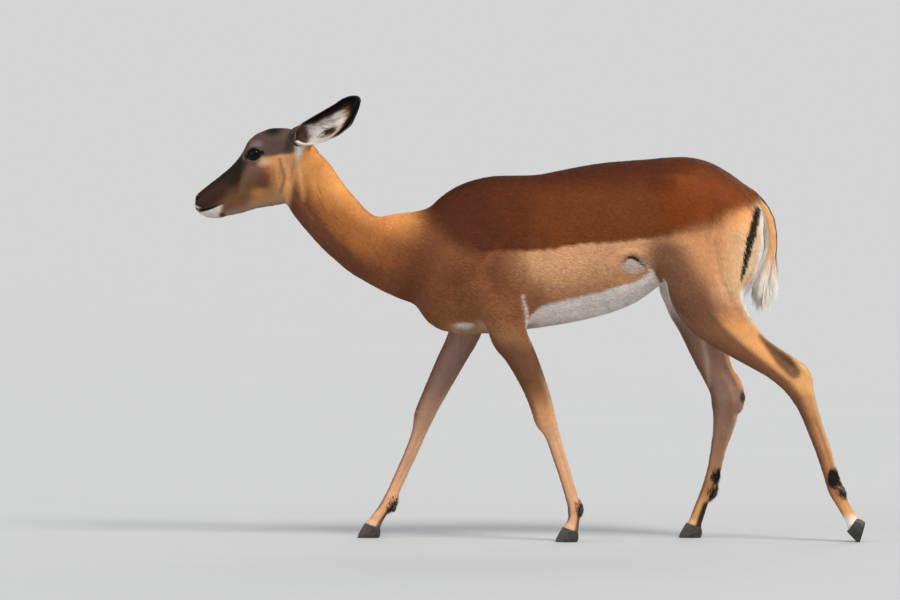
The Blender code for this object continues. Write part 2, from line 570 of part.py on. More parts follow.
def sawnPieces(flesh):
    blades = bmesh.new()
    for middle, along, reach, depth in sawCuts:
        addSlab(blades, middle, along, reach, depth)
    subtract(flesh, blades)
    return loosePieces(flesh)


def loosePieces(thing):
    """Splits an object into its separate bodies, as (middle, bmesh) pairs."""
    whole = bmesh.new()
    whole.from_mesh(thing.data)
    whole.verts.ensure_lookup_table()
    seen, pieces = set(), []
    for start in whole.verts:
        if start.index in seen:
            continue
        group, stack = [], [start]
        seen.add(start.index)
        while stack:
            v = stack.pop()
            group.append(v)
            for e in v.link_edges:
                w = e.other_vert(v)
                if w.index not in seen:
                    seen.add(w.index)
                    stack.append(w)
        piece = bmesh.new()
        copies = {v: piece.verts.new(v.co) for v in group}
        for f in {f for v in group for f in v.link_faces}:
            piece.faces.new([copies[v] for v in f.verts])
        spots = np.array([v.co for v in piece.verts])
        pieces.append(((spots.min(0) + spots.max(0)) / 2, piece))
    whole.free()
    bpy.data.objects.remove(thing)
    return pieces


def pieceName(middle):
    """Which part of the animal a sawn piece is, told by where its middle lies."""
    x, y, z = middle
    side = "left" if y < 0 else "right"
    if x < -0.52:
        return "head"
    if x < -0.25 and z > 0.5:
        return "neck"
    if z > 0.5:
        return "trunk"
    return f"{'fore' if x < 0.2 else 'hind'}_leg_{side}"


def cutCoronet(shape, foot):
    """Takes away the end of the leg that reaches down into the hoof."""
    frame = footFrame(foot)
    normal = frame.to_3x3() @ Vector((math.sin(coronetSlope), 0, math.cos(coronetSlope)))
    cut = bmesh.ops.bisect_plane(shape, geom=shape.verts[:] + shape.edges[:] + shape.faces[:], dist=1e-6,
                                 plane_co=frame.translation, plane_no=normal, clear_inner=True)
    rim = [e for e in cut["geom_cut"] if isinstance(e, bmesh.types.BMEdge)]
    bmesh.ops.holes_fill(shape, edges=rim, sides=0)


paints = {
    "coat": ((0.32, 0.13, 0.05), 0.80),
    "horn": ((0.06, 0.05, 0.045), 0.45),
    "eye": ((0.015, 0.010, 0.008), 0.10),
}


def paint(thing, kind):
    colour, rough = paints[kind]
    material = bpy.data.materials.new(f"{kind}_{thing.name}")
    material.use_nodes = True
    shader = material.node_tree.nodes["Principled BSDF"]
    shader.inputs["Base Color"].default_value = (*colour, 1.0)
    shader.inputs["Roughness"].default_value = rough
    thing.data.materials.clear()
    thing.data.materials.append(material)


def eyeBall(side, swell=0.0):
    shape = bmesh.new()
    x, y, z = eyeSpot
    place = Matrix.Translation((x, y * side, z)) @ Matrix.Rotation(math.radians(90), 4, "X")
    bmesh.ops.create_uvsphere(shape, u_segments=14, v_segments=9, radius=eyeRadius + swell, matrix=place)
    return shape


def build():
    for thing in list(bpy.data.objects):
        bpy.data.objects.remove(thing)
    flesh = makeObject("flesh", smoothedClay(meltedClay(fleshClay(), clayGrain), clayGrain))
    reduce = flesh.modifiers.new("reduce", "DECIMATE")
    reduce.ratio = fleshFacets / (2 * len(flesh.data.polygons))
    reduce.use_collapse_triangulate = True
    applied(flesh, reduce)
    subtract(flesh, tailMesh(clearance))
    for side in (-1, 1):
        subtract(flesh, eyeBall(side, clearance))
        subtract(flesh, earSocket(side))
    parts = {}
    for middle, shape in sawnPieces(flesh):
        name = pieceName(middle)
        for foot in feet:
            if name == f"{foot[0]}_leg_{sideName[foot[1]]}":
                cutCoronet(shape, foot)
        parts[name] = makeObject(name, shape)
    for foot in feet:
        for inner in (False, True):
            subtract(parts[f"{foot[0]}_leg_{sideName[foot[1]]}"], dewclawMesh(foot, inner, clearance))
    for thing in parts.values():
        paint(thing, "coat")
    paint(makeObject("tail", tailMesh()), "coat")
    for side in (-1, 1):
        paint(makeObject(f"ear_{sideName[side]}", earMesh(side)), "coat")
        paint(makeObject(f"eye_{sideName[side]}", eyeBall(side)), "eye")
    for foot in feet:
        for inner in (False, True):
            tag = f"{foot[0]}_{sideName[foot[1]]}_{'inner' if inner else 'outer'}"
            paint(makeObject(f"hoof_{tag}", clawMesh(foot, inner)), "horn")
            paint(makeObject(f"dewclaw_{tag}", dewclawMesh(foot, inner)), "horn")
    for thing in bpy.data.objects:
        for v in thing.data.vertices:
            v.co.x += midLength


build()
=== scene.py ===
# Impala ewe, life size, walking. Its skin, short coat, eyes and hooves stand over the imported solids.
import math
import time

import bmesh
import bpy
import numpy as np
from mathutils import Matrix, Vector


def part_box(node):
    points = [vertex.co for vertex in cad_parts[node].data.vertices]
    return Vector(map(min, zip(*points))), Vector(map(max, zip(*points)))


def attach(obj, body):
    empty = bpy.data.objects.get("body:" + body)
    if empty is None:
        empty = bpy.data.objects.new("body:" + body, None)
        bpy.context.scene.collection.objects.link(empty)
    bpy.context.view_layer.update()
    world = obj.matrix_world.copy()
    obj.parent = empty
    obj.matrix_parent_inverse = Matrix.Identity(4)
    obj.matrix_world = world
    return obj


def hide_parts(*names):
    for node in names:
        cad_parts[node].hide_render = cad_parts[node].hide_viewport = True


startTime = time.time()
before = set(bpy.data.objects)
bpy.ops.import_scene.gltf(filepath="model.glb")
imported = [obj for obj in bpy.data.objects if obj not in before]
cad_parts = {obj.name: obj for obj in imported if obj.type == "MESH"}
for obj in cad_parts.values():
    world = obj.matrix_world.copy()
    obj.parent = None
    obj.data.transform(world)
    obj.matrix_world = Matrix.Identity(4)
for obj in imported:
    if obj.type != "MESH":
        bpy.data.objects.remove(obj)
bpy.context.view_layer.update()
rng = np.random.default_rng(1871)
sideName = {-1: "left", 1: "right"}      # the animal faces -X, so its left side lies towards -Y
thinning = 1


def report(words):
    print(f"[{time.time() - startTime:5.1f} s] {words}")


eye = {
    "spot": (-0.6395, 0.0402, 0.9020),   # middle of the right eyeball, the left one is mirrored
    "radius": 0.0168,
    "halfLong": 0.0162,                  # opening of the lids, corner to corner
    "halfHigh": 0.0108,
    "slant": 14.0,                       # degrees that the corner at the nose lies lower
    "lidThick": 0.0016,
    "aim": (-0.26, 0.955, 0.06),         # of the right eye
}
low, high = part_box("eye_left")
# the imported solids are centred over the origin
shift = np.array(((low.x + high.x) / 2 - eye["spot"][0], 0.0, 0.0))
report(f"frame loaded, shift {shift[0]:.4f} m")


# Small helpers.

def metres(rows, lengths=None):
    # Tables are in millimetres. Columns after the given number of lengths are shares or degrees, and stay.
    rows = np.array(rows, float)
    rows[..., :lengths] /= 1000
    return rows


def ramp(value, low, high):
    t = np.clip((value - low) / (high - low), 0.0, 1.0)
    return t * t * (3 - 2 * t)


def fall(value, low, high):
    return 1 - ramp(value, low, high)


def bell(value, middle, reach):
    return np.exp(-((value - middle) / reach) ** 2)


def unit(v):
    return v / np.maximum(np.linalg.norm(v, axis=-1, keepdims=True), 1e-12)


def folded(p):
    # Both sides of the animal laid on its right side.
    return p * (1, 0, 1) + np.abs(p) * (0, 1, 0)


def evenCurve(rows, count):
    # A curve through the rows that doesn't overshoot, read at even steps of its length.
    rows = np.array(rows, float)
    step = np.linalg.norm(np.diff(rows[:, :3], axis=0), axis=1)
    at = np.concatenate([[0.0], np.cumsum(step)])
    slope = np.diff(rows, axis=0) / step[:, None]
    before, after = slope[:-1], slope[1:]
    a, b = 2 * step[1:, None] + step[:-1, None], step[1:, None] + 2 * step[:-1, None]
    same = before * after > 0
    mean = (a + b) / (a / np.where(same, before, 1.0) + b / np.where(same, after, 1.0))
    tangent = np.vstack([slope[:1], np.where(same, mean, 0.0), slope[-1:]])
    t = np.linspace(0.0, at[-1], count)
    i = np.minimum(np.searchsorted(at, t, side="right") - 1, len(step) - 1)
    h = step[i][:, None]
    u = ((t - at[i]) / step[i])[:, None]
    return ((2 * u**3 - 3 * u**2 + 1) * rows[i] + (u**3 - 2 * u**2 + u) * h * tangent[i]
            + (3 * u**2 - 2 * u**3) * rows[i + 1] + (u**3 - u**2) * h * tangent[i + 1])


def addThing(name, data):
    thing = bpy.data.objects.new(name, data)
    bpy.context.collection.objects.link(thing)
    return thing


def opened(mesh):
    shape = bmesh.new()
    shape.from_mesh(mesh)
    return shape


def pour(shape, mesh=None):
    # Writes a bmesh into a mesh, or into a new one, and frees it.
    mesh = mesh or bpy.data.meshes.new("part")
    shape.to_mesh(mesh)
    shape.free()
    return mesh


def readAll(items, field, wide, kind=np.float32):
    values = np.empty(len(items) * wide, kind)
    items.foreach_get(field, values)
    return values.reshape(-1, wide)


def pointsOf(mesh):
    return readAll(mesh.vertices, "co", 3).astype(float)


def trisOf(mesh):
    mesh.calc_loop_triangles()
    return readAll(mesh.loop_triangles, "vertices", 3, np.int32)


def movePoints(mesh, points):
    mesh.vertices.foreach_set("co", points.astype(np.float32).ravel())
    mesh.update()


def addField(mesh, name, kind, field, values):
    layer = mesh.attributes.new(name, kind, "POINT")
    layer.data.foreach_set(field, np.asarray(values, np.float32).ravel())


# Clay shapes: the forms the solids were cut from, here without the facets.

def addTube(clay, loops):
    rings = [[clay.verts.new(p) for p in ring] for ring in loops]
    sides = len(rings[0])
    made = [clay.faces.new((a[k], a[(k + 1) % sides], b[(k + 1) % sides], b[k]))
            for a, b in zip(rings, rings[1:]) for k in range(sides)]
    made += [clay.faces.new(rings[0][::-1]), clay.faces.new(rings[-1])]
    bmesh.ops.recalc_face_normals(clay, faces=made)


def sectionRing(centre, up, halfUp, halfDown, halfWidth, roundUp, roundDown, sides):
    a = 2 * np.pi * (np.arange(sides) + 0.5) / sides
    c, s = np.cos(a), np.sin(a)
    fullness = np.where(s >= 0, roundUp, roundDown)
    across = halfWidth * np.sign(c) * np.abs(c) ** (2 / fullness)
    along = np.where(s >= 0, halfUp, halfDown) * np.sign(s) * np.abs(s) ** (2 / fullness)
    return np.array(centre) + along[:, None] * np.array(up) + across[:, None] * np.array((0.0, 1.0, 0.0))


def addBarrel(clay, stations, rings, sides=64):
    rows = [(x, 0.0, bottom + (top - bottom) * widest, top, bottom, half, fullTop, fullBottom)
            for x, top, bottom, half, widest, fullTop, fullBottom in stations]
    addTube(clay, [
        sectionRing((x, 0.0, middle), (0, 0, 1), top - middle, middle - bottom, half, *full, sides)
        for x, _, middle, top, bottom, half, *full in evenCurve(rows, rings)])


def addLimb(clay, stations, side, rings, sides, full=2.0):
    rows = evenCurve([(x, y * side, z, front, back, half) for x, z, front, back, half, y in stations], rings)
    ahead = unit(np.cross((0.0, 1.0, 0.0), np.gradient(rows[:, :3], axis=0)))
    addTube(clay, [sectionRing(row[:3], way, *row[3:], full, full, sides) for row, way in zip(rows, ahead)])


def addLump(clay, row, sides=(-1, 1)):
    # The row: middle, radii, and tilt, turn and lean in degrees.
    x, y, z, *radii, tilt, turn, lean = metres(row, 6)
    for side in sides:
        place = Matrix.Translation((x, y * side, z))
        for angle, axis in ((lean * side, "X"), (turn * side, "Z"), (tilt, "Y")):
            place = place @ Matrix.Rotation(math.radians(angle), 4, axis)
        place = place @ Matrix.Diagonal((*radii, 1.0))
        bmesh.ops.create_icosphere(clay, subdivisions=4, radius=1.0, matrix=place)


# Rows of the trunk and head: x, top, bottom, half width, height of the widest line as a share, and fullness
# above and below it (2 is an ellipse, less is keeled, more is square).
trunkRows = metres([
    (-270, 690, 556, 34, 0.50, 2.0, 2.0), (-262, 735, 541, 50, 0.46, 2.0, 2.0),     # breast
    (-240, 772, 509, 67, 0.42, 1.9, 1.9), (-205, 809, 488, 81, 0.43, 1.8, 1.9),     # point of shoulder
    (-150, 841, 480, 93, 0.43, 1.6, 1.9), (-80, 856, 482, 102, 0.43, 1.65, 1.9),   # withers, elbow and girth
    (0, 856, 492, 112, 0.43, 1.8, 2.0), (80, 869, 504, 120, 0.43, 1.9, 2.1),        # ribs
    (160, 883, 521, 121, 0.44, 2.0, 2.1), (220, 889, 540, 115, 0.47, 2.0, 2.1),     # paunch
    (265, 892, 563, 106, 0.50, 2.0, 2.1), (310, 896, 596, 99, 0.55, 2.0, 2.0),      # flank
    (360, 899, 615, 98, 0.62, 2.0, 2.0), (415, 889, 592, 92, 0.60, 2.0, 2.0),       # croup
    (465, 864, 602, 80, 0.58, 1.9, 2.0), (510, 832, 640, 58, 0.55, 1.9, 2.0),       # pin bones
    (543, 812, 700, 28, 0.55, 2.0, 2.0),
], 4)
headRows = metres([
    (-782, 806, 774, 15, 0.50, 2.2, 2.2), (-774, 812.5, 766.5, 21.5, 0.45, 2.2, 2.2),       # tip of the nose
    (-760, 824.5, 757, 25.5, 0.42, 2.2, 2.3), (-743, 838, 752, 26.5, 0.40, 2.1, 2.3),       # nostrils, lips
    # corner of the mouth
    (-724, 853, 752, 26.2, 0.40, 2.0, 2.2), (-705, 868.5, 757.5, 27.5, 0.42, 2.0, 2.0),
    (-686, 887, 760.5, 33.5, 0.50, 2.0, 1.9), (-669, 910, 763.5, 40.5, 0.60, 2.1, 1.8),
    (-656, 936, 766.5, 45.5, 0.68, 2.2, 1.8), (-638, 950.5, 771, 48.5, 0.72, 2.2, 1.85),    # brow
    (-617, 958, 775.5, 48, 0.70, 2.1, 1.9), (-596, 964, 780, 45.5, 0.66, 2.1, 1.8),         # crown
    (-573, 965, 786, 44, 0.62, 2.0, 1.9), (-550, 961, 801, 42, 0.60, 2.0, 2.0),
    (-526, 946, 830, 36, 0.55, 2.0, 2.0), (-508, 929, 855, 28, 0.50, 2.0, 2.0),             # poll
    (-495, 914.5, 860, 22, 0.50, 2.0, 2.0),
], 4)
# Rows of the neck and legs: x, z, half depth in front (above) and behind (below), half width, and how far
# the middle is from the animal's midline.
neckRows = metres([
    (-565, 880, 40, 40, 36, 0), (-528, 853, 66, 71, 42, 0), (-489, 798, 69, 73, 44, 0),     # throat
    (-451, 752, 70, 72, 44, 0), (-413, 711, 71, 71, 46, 0), (-371, 684, 80, 80, 52, 0),
    # root of the neck
    (-322, 674, 94, 100, 64, 0), (-262, 670, 102, 118, 81, 0), (-190, 670, 120, 120, 80, 0),
])
foreLeg = {
    -1: metres([   # left, at the end of its stride
        (-76, 600, 56, 56, 28, 70), (-56, 530, 54, 52, 34, 74), (-46.3, 481.3, 47, 44, 33, 74),     # elbow
        (-25.3, 444.6, 39, 38.5, 29, 73), (-0.5, 392.4, 32.5, 32.5, 25, 72),
        (20.4, 340, 28.5, 29.5, 21.5, 71),
        # knee
        (31, 308, 27.5, 27.5, 21.5, 71), (37.6, 286, 27.5, 25.5, 21.5, 71), (47, 264, 21.5, 22, 18.5, 71),
        (55, 244, 18, 18.5, 15, 70.5), (70.7, 195, 16.8, 17.2, 13, 70), (88, 140, 15.8, 16.2, 13, 70),
        # fetlock
        (98.5, 102, 15.5, 16.5, 15, 70), (104.5, 80, 16, 18.5, 17.5, 70), (104, 56, 14, 15, 16.5, 70),
        (99, 36, 17, 17, 19, 70), (94, 18, 16, 16, 19, 70),     # coronet
    ]),
    1: metres([    # right, reaching forward
        (-135, 600, 56, 56, 28, 70), (-142, 525, 47, 50, 34, 74), (-154.4, 475, 38, 40, 33, 74),
        (-170.8, 441, 35, 35, 29, 73), (-193.3, 396.4, 32, 32, 25, 72), (-221.6, 340, 28, 28.5, 21.5, 71),
        (-235, 312, 26.2, 26.2, 21.5, 71), (-244, 290, 26, 24.5, 21.5, 71),
        (-252, 267, 21.5, 21.5, 18.5, 71),
        (-259, 245, 18, 18.5, 15, 70.5), (-278, 198, 16, 16.5, 13, 70), (-303, 143, 15.2, 15.8, 13, 70),
        (-319, 107, 15, 16.2, 15, 70), (-329, 85, 16.5, 18.8, 18, 70), (-346, 60, 14.2, 14.8, 16.5, 70),
        (-361, 38, 16.8, 16.8, 19, 70), (-373, 19, 16, 16, 19, 70),
    ]),
}
hindLeg = {
    -1: metres([   # left, pushing off
        # thigh
        (430, 800, 90, 102, 38, 52), (420, 720, 106, 130, 47, 55), (416.5, 654.5, 108, 121.5, 49, 59),
        (412, 595, 96, 98.5, 47, 63), (427, 543, 80, 80, 41, 68), (456, 505, 62, 54, 36, 72),       # stifle
        (492, 470, 47, 36, 31, 74), (535, 435, 36, 24, 25, 74), (578, 402, 29, 22, 21.5, 74),       # gaskin
        (612, 374, 29, 26, 22, 74), (633, 348, 29, 30, 22.5, 74), (647, 316.8, 24, 25, 19, 74),     # hock
        (667, 261.4, 20.5, 21, 15, 74), (686, 210, 19.5, 20, 14, 74), (700.8, 159.6, 17.5, 18.5, 14, 74),
        # fetlock, coronet
        (713, 120, 17, 20, 17, 74), (730, 87, 14.5, 16, 16.5, 74), (746.5, 59, 15, 16, 18, 74),
        (756, 40, 16, 16, 19, 74), (764, 24, 15, 15, 19, 74),
    ]),
    1: metres([    # right, under the body
        (400, 800, 80, 132, 38, 52), (395, 720, 100, 154, 47, 55), (390, 654.5, 98, 133, 49, 59),
        (386, 595, 80, 103, 47, 63), (388, 540, 66, 80, 41, 68), (396, 495, 47, 56, 35, 72),
        (406, 455, 36, 42, 30, 74), (418, 420, 30, 29, 25, 74), (437, 380, 28, 24, 21.5, 74),
        (454, 348, 30, 28, 22, 74), (460, 320, 31, 32, 22.5, 74), (459, 288, 27, 33.5, 19, 74),
        (454, 250, 22.5, 27.5, 15.5, 74), (446, 208, 19.5, 20, 14, 74), (437, 163, 17.5, 18, 14, 74),
        (424, 118, 17, 20, 17, 74), (408, 82, 14.5, 15.5, 16.5, 74), (397.5, 52, 16, 16.5, 18.5, 74),
        (391, 34, 16.5, 16.5, 19, 74), (386, 18, 15.5, 15.5, 19, 74),
    ]),
}
# Heel cords: x, z, half depth, half width. The sixth station is the point of the hock.
heelCord = {
    -1: metres([(470, 580, 26, 30), (505, 518, 17, 19), (546, 470, 13, 13), (590, 439, 10, 10),
                (627, 412, 11.5, 10.5), (644, 388, 15, 13), (648, 355, 16, 14)]),
    1: metres([(425, 560, 26, 30), (444, 495, 17, 19), (456, 445, 13, 13), (470, 402, 10, 10),
               (494, 356, 11.5, 10.5), (497, 332, 14, 13), (489, 298, 15, 14)]),
}
hockOut = 0.074       # distance of the hocks and heel cords from the midline
bodyLumps = [
    (325, 66, 838, 62, 26, 26, 12, 0, 20),      # point of hip
    (425, 50, 795, 105, 42, 70, 28, 0, 16),     # rump muscle
    (518, 42, 748, 32, 22, 46, -6, 0, 4),       # pin bone
]
shoulderLumps = [     # with how much of the leg's swing each one takes
    (0.3, (-128, 69, 705, 50, 20, 112, 26, 6, 19)), (0.8, (-65, 83, 640, 50, 20, 85, -14, 4, 8)),
    (0.8, (-135, 68, 592, 85, 24, 46, 10, 14, 0)),
]
headLumps = [
    (-640, 38, 908, 29, 15, 21.5, -12, 0, 0),           # eye socket
    (-599, 25.5, 835, 46, 13, 32, -15, 0, -12),         # cheek muscle
    (-531, 33, 933, 23, 16.5, 19, 0, 0, 0),             # root of the ear
    (-544, 44.5, 955.5, 25, 18.5, 12, -34, 24, 0),      # gristle in front of it
]
kneecap = {-1: (392, 62, 600, 70, 42, 75, 25, 0, 0), 1: (372, 62, 600, 70, 42, 75, 25, 0, 0)}


def addBody(clay):
    addBarrel(clay, trunkRows, 90)
    for row in bodyLumps:
        addLump(clay, row)
    for side, swing in ((-1, 0), (1, -40)):            # the right shoulder swings ahead with its leg
        for share, (x, *rest) in shoulderLumps:
            addLump(clay, (x + swing * share, *rest), (side,))
    addLimb(clay, neckRows[::-1], 1, 70, 48)
    addBarrel(clay, headRows, 110)
    for row in headLumps:
        addLump(clay, row)
    for side in (-1, 1):
        addLimb(clay, foreLeg[side], side, 120, 32, 2.1)
        addLimb(clay, hindLeg[side], side, 130, 32, 2.1)
        cord = [(x, z, half, half, width, hockOut) for x, z, half, width in heelCord[side]]
        web = [(x - 0.018, z - 0.014, 0.020, 0.012, 0.0050, hockOut) for x, z, *_ in heelCord[side][1:]]
        addLimb(clay, cord, side, 40, 20)
        addLimb(clay, web, side, 40, 20)
        addLump(clay, kneecap[side], (side,))


skin = {
    "grain": 0.0050,    # edge of the melted clay; the legs get half of it, the eyes and the muzzle a quarter
    "rounds": 5,               # of smoothing, everywhere
    "trunkRounds": 38,         # melts the muscles of the trunk together
    "coatOnBody": 0.0015,      # how far the skin lies inside the outline
    "coatOnLimbs": 0.0008,
}


def melted(clay):
    mesh = pour(clay)
    lump = addThing("clay", mesh)
    melt = lump.modifiers.new("melt", "REMESH")
    melt.mode = "VOXEL"
    melt.voxel_size = skin["grain"]
    done = bpy.data.meshes.new_from_object(lump.evaluated_get(bpy.context.evaluated_depsgraph_get()))
    bpy.data.objects.remove(lump)
    bpy.data.meshes.remove(mesh)
    return done


def relax(mesh, rounds, weigh):
    # Every point moves towards the middle of its neighbours, as far as its weight says.
    points = pointsOf(mesh)
    a, b = readAll(mesh.edges, "vertices", 2, np.int32).T
    ends, others = np.concatenate([a, b]), np.concatenate([b, a])
    degree = np.maximum(np.bincount(ends, minlength=len(points)), 1)
    weight = 0.5 * weigh(points)[:, None]
    for _ in range(rounds):
        mean = np.stack([np.bincount(ends, points[others, k], len(points)) for k in range(3)], axis=1)
        points = points + weight * (mean / degree[:, None] - points)
    movePoints(mesh, points)


def refine(mesh, chosen):
    shape = opened(mesh)
    inside = chosen(pointsOf(mesh))
    edges = [e for e in shape.edges if inside[e.verts[0].index] and inside[e.verts[1].index]]
    bmesh.ops.subdivide_edges(shape, edges=edges, cuts=1, use_grid_fill=True)
    bmesh.ops.triangulate(shape, faces=[f for f in shape.faces if len(f.verts) > 4])
    pour(shape, mesh)
    relax(mesh, 4, lambda p: chosen(p).astype(float))


def inLegOrHead(p):
    return (p[:, 2] < 0.40) | ((p[:, 0] < -0.505) & (p[:, 2] > 0.74))


def inEyeOrMuzzle(p):
    nearEye = ((folded(p) - eye["spot"]) ** 2).sum(axis=1) < 0.034 ** 2
    return nearEye | ((p[:, 0] < -0.703) & (p[:, 2] > 0.7))


# Feet: x, z of the coronet's middle, turn in degrees (toe down for plus), distance from the midline.
feet = {
    ("fore", -1): (0.0985, 0.0285, 0.0, 0.0700), ("fore", 1): (-0.3650, 0.0285, 0.0, 0.0700),
    ("hind", -1): (0.7520, 0.0410, 74.0, 0.0740), ("hind", 1): (0.3915, 0.0285, 0.0, 0.0740),
}
hoof = {
    "length": 0.0530,
    "width": 0.0200,
    "height": 0.0285,                # of the coronet over the sole
    "slope": math.radians(17),       # the coronet drops towards the heel
    "split": 0.0030,                 # gap between the claws at the coronet, wider towards the toes
    "clearance": 0.0004,
    "flare": 0.0020,                 # how far the skin spreads just over the coronet
}


def footFrame(foot):
    x, z, turn, y = feet[foot]
    return Matrix.Translation((x, y * foot[1], z)) @ Matrix.Rotation(math.radians(-turn), 4, "Y")


def placed(local, matrix):
    matrix = np.array(matrix)
    return local @ matrix[:3, :3].T + matrix[:3, 3]


def overCoronet(p, foot):
    # Points in the foot's own frame, and their height over its coronet.
    local = placed(p, footFrame(foot).inverted())
    return local, local[:, 2] + math.tan(hoof["slope"]) * local[:, 0]


def cutCoronets(mesh):
    # The leg ends at the top of the hoof.
    shape = opened(mesh)
    for foot in feet:
        place = footFrame(foot)
        normal = place.to_3x3() @ Vector((math.sin(hoof["slope"]), 0, math.cos(hoof["slope"])))
        middle = place.translation
        own = [v for v in shape.verts if (v.co - middle).length < 0.075 and v.co.y * foot[1] > 0]
        edges = {e for v in own for e in v.link_edges}
        faces = {f for v in own for f in v.link_faces}
        cut = bmesh.ops.bisect_plane(shape, geom=own + list(edges) + list(faces), dist=1e-6,
                                     plane_co=middle - normal * 0.0010, plane_no=normal, clear_inner=True)
        rim = [e for e in cut["geom_cut"] if isinstance(e, bmesh.types.BMEdge)]
        bmesh.ops.holes_fill(shape, edges=rim, sides=0)
    bmesh.ops.triangulate(shape, faces=[f for f in shape.faces if len(f.verts) > 4])
    pour(shape, mesh)


def fleshMesh():
    clay = bmesh.new()
    addBody(clay)
    mesh = melted(clay)
    relax(mesh, skin["rounds"], lambda p: np.ones(len(p)))
    relax(mesh, skin["trunkRounds"], lambda p: ramp(p[:, 2], 0.42, 0.52) * ramp(p[:, 0], -0.50, -0.40))
    refine(mesh, inLegOrHead)
    refine(mesh, inEyeOrMuzzle)
    cutCoronets(mesh)
    return mesh


# Fields that tell where on the animal a point is. All of them take points before the shift.

def alongRows(rows, z, column):
    rows = rows[np.argsort(rows[:, 1])]
    return np.interp(z, rows[:, 1], rows[:, column])


def limbPlace(p):
    # If each point is on a hind limb, its side, and how far it is behind and outside the bone's middle.
    side = np.where(p[:, 1] < 0, -1, 1)
    hind = p[:, 0] >= np.where(side < 0, 0.30, 0.20)
    behind, out = np.zeros(len(p)), np.zeros(len(p))
    for legs, rear in ((foreLeg, False), (hindLeg, True)):
        for s in (-1, 1):
            pick = (hind == rear) & (side == s)
            behind[pick] = p[pick, 0] - alongRows(legs[s], p[pick, 2], 0)
            out[pick] = p[pick, 1] * s - alongRows(legs[s], p[pick, 2], 5)
    return hind, side, behind, out


def pathDistance(q, path):
    # Distance to a run of straight pieces, and how far along it (0 to 1) the nearest spot is.
    best, share = np.full(len(q), 1e9), np.zeros(len(q))
    legs = len(path) - 1
    for i, (a, b) in enumerate(zip(path, path[1:])):
        t = np.clip(((q - a) @ (b - a)) / ((b - a) @ (b - a)), 0.0, 1.0)
        d = np.linalg.norm(q - a - t[:, None] * (b - a), axis=1)
        share = np.where(d < best, (i + t) / legs, share)
        best = np.minimum(d, best)
    return best, share


def pointNormals(points, tris):
    a, b, c = points[tris[:, 0]], points[tris[:, 1]], points[tris[:, 2]]
    face = np.repeat(np.cross(b - a, c - a), 3, axis=0)
    return unit(np.stack([np.bincount(tris.ravel(), face[:, k], len(points)) for k in range(3)], axis=1))


# Soft hollows (minus) and swellings (plus) of both sides: middle x, y, z; reach x, y, z; height.
swells = [
    (-598, 46, 921, 20, 20, 12, -2.2), (-671, 36, 884, 11, 16, 11, -2.0),       # temple, in front of the eye
    # under the lower lid, hinge of the jaw
    (-640, 48, 880, 18, 16, 8, -1.2), (-572, 40, 915, 14, 20, 16, 1.2),
    # under the ear, between the jaw bones
    (-552, 48, 905, 10, 16, 13, -2.0), (-640, 0, 775, 45, 10, 10, -3.0),
    (-715, 22, 835, 22, 12, 10, -1.2), (-752, 14, 765, 12, 12, 6, 1.0),         # side of the nose, chin
    (-767, 22, 789, 8, 10, 7, 1.0), (-610, 0, 962, 22, 18, 12, 1.5),            # upper lip, crown
    (-655, 0, 940, 20, 12, 12, -1.4), (280, 110, 780, 42, 40, 60, -8.5),     # dip between the brows, flank
    # behind and before the shoulder blade
    (30, 100, 790, 50, 40, 60, -4.5), (-215, 70, 700, 26, 30, 70, -6.0),
    (-75, 95, 650, 40, 40, 50, 4.0), (-150, 85, 590, 40, 40, 26, 4.0),     # triceps, point of the shoulder
    (-30, 90, 545, 22, 30, 20, 3.0), (360, 100, 690, 45, 40, 70, 3.5),          # elbow, front of the thigh
    (455, 90, 700, 34, 40, 80, 3.5), (330, 80, 855, 26, 30, 16, 3.5),   # rear of the thigh, point of the hip
    (210, 80, 620, 30, 40, 22, -4.0),                                           # under the fold of the flank
]
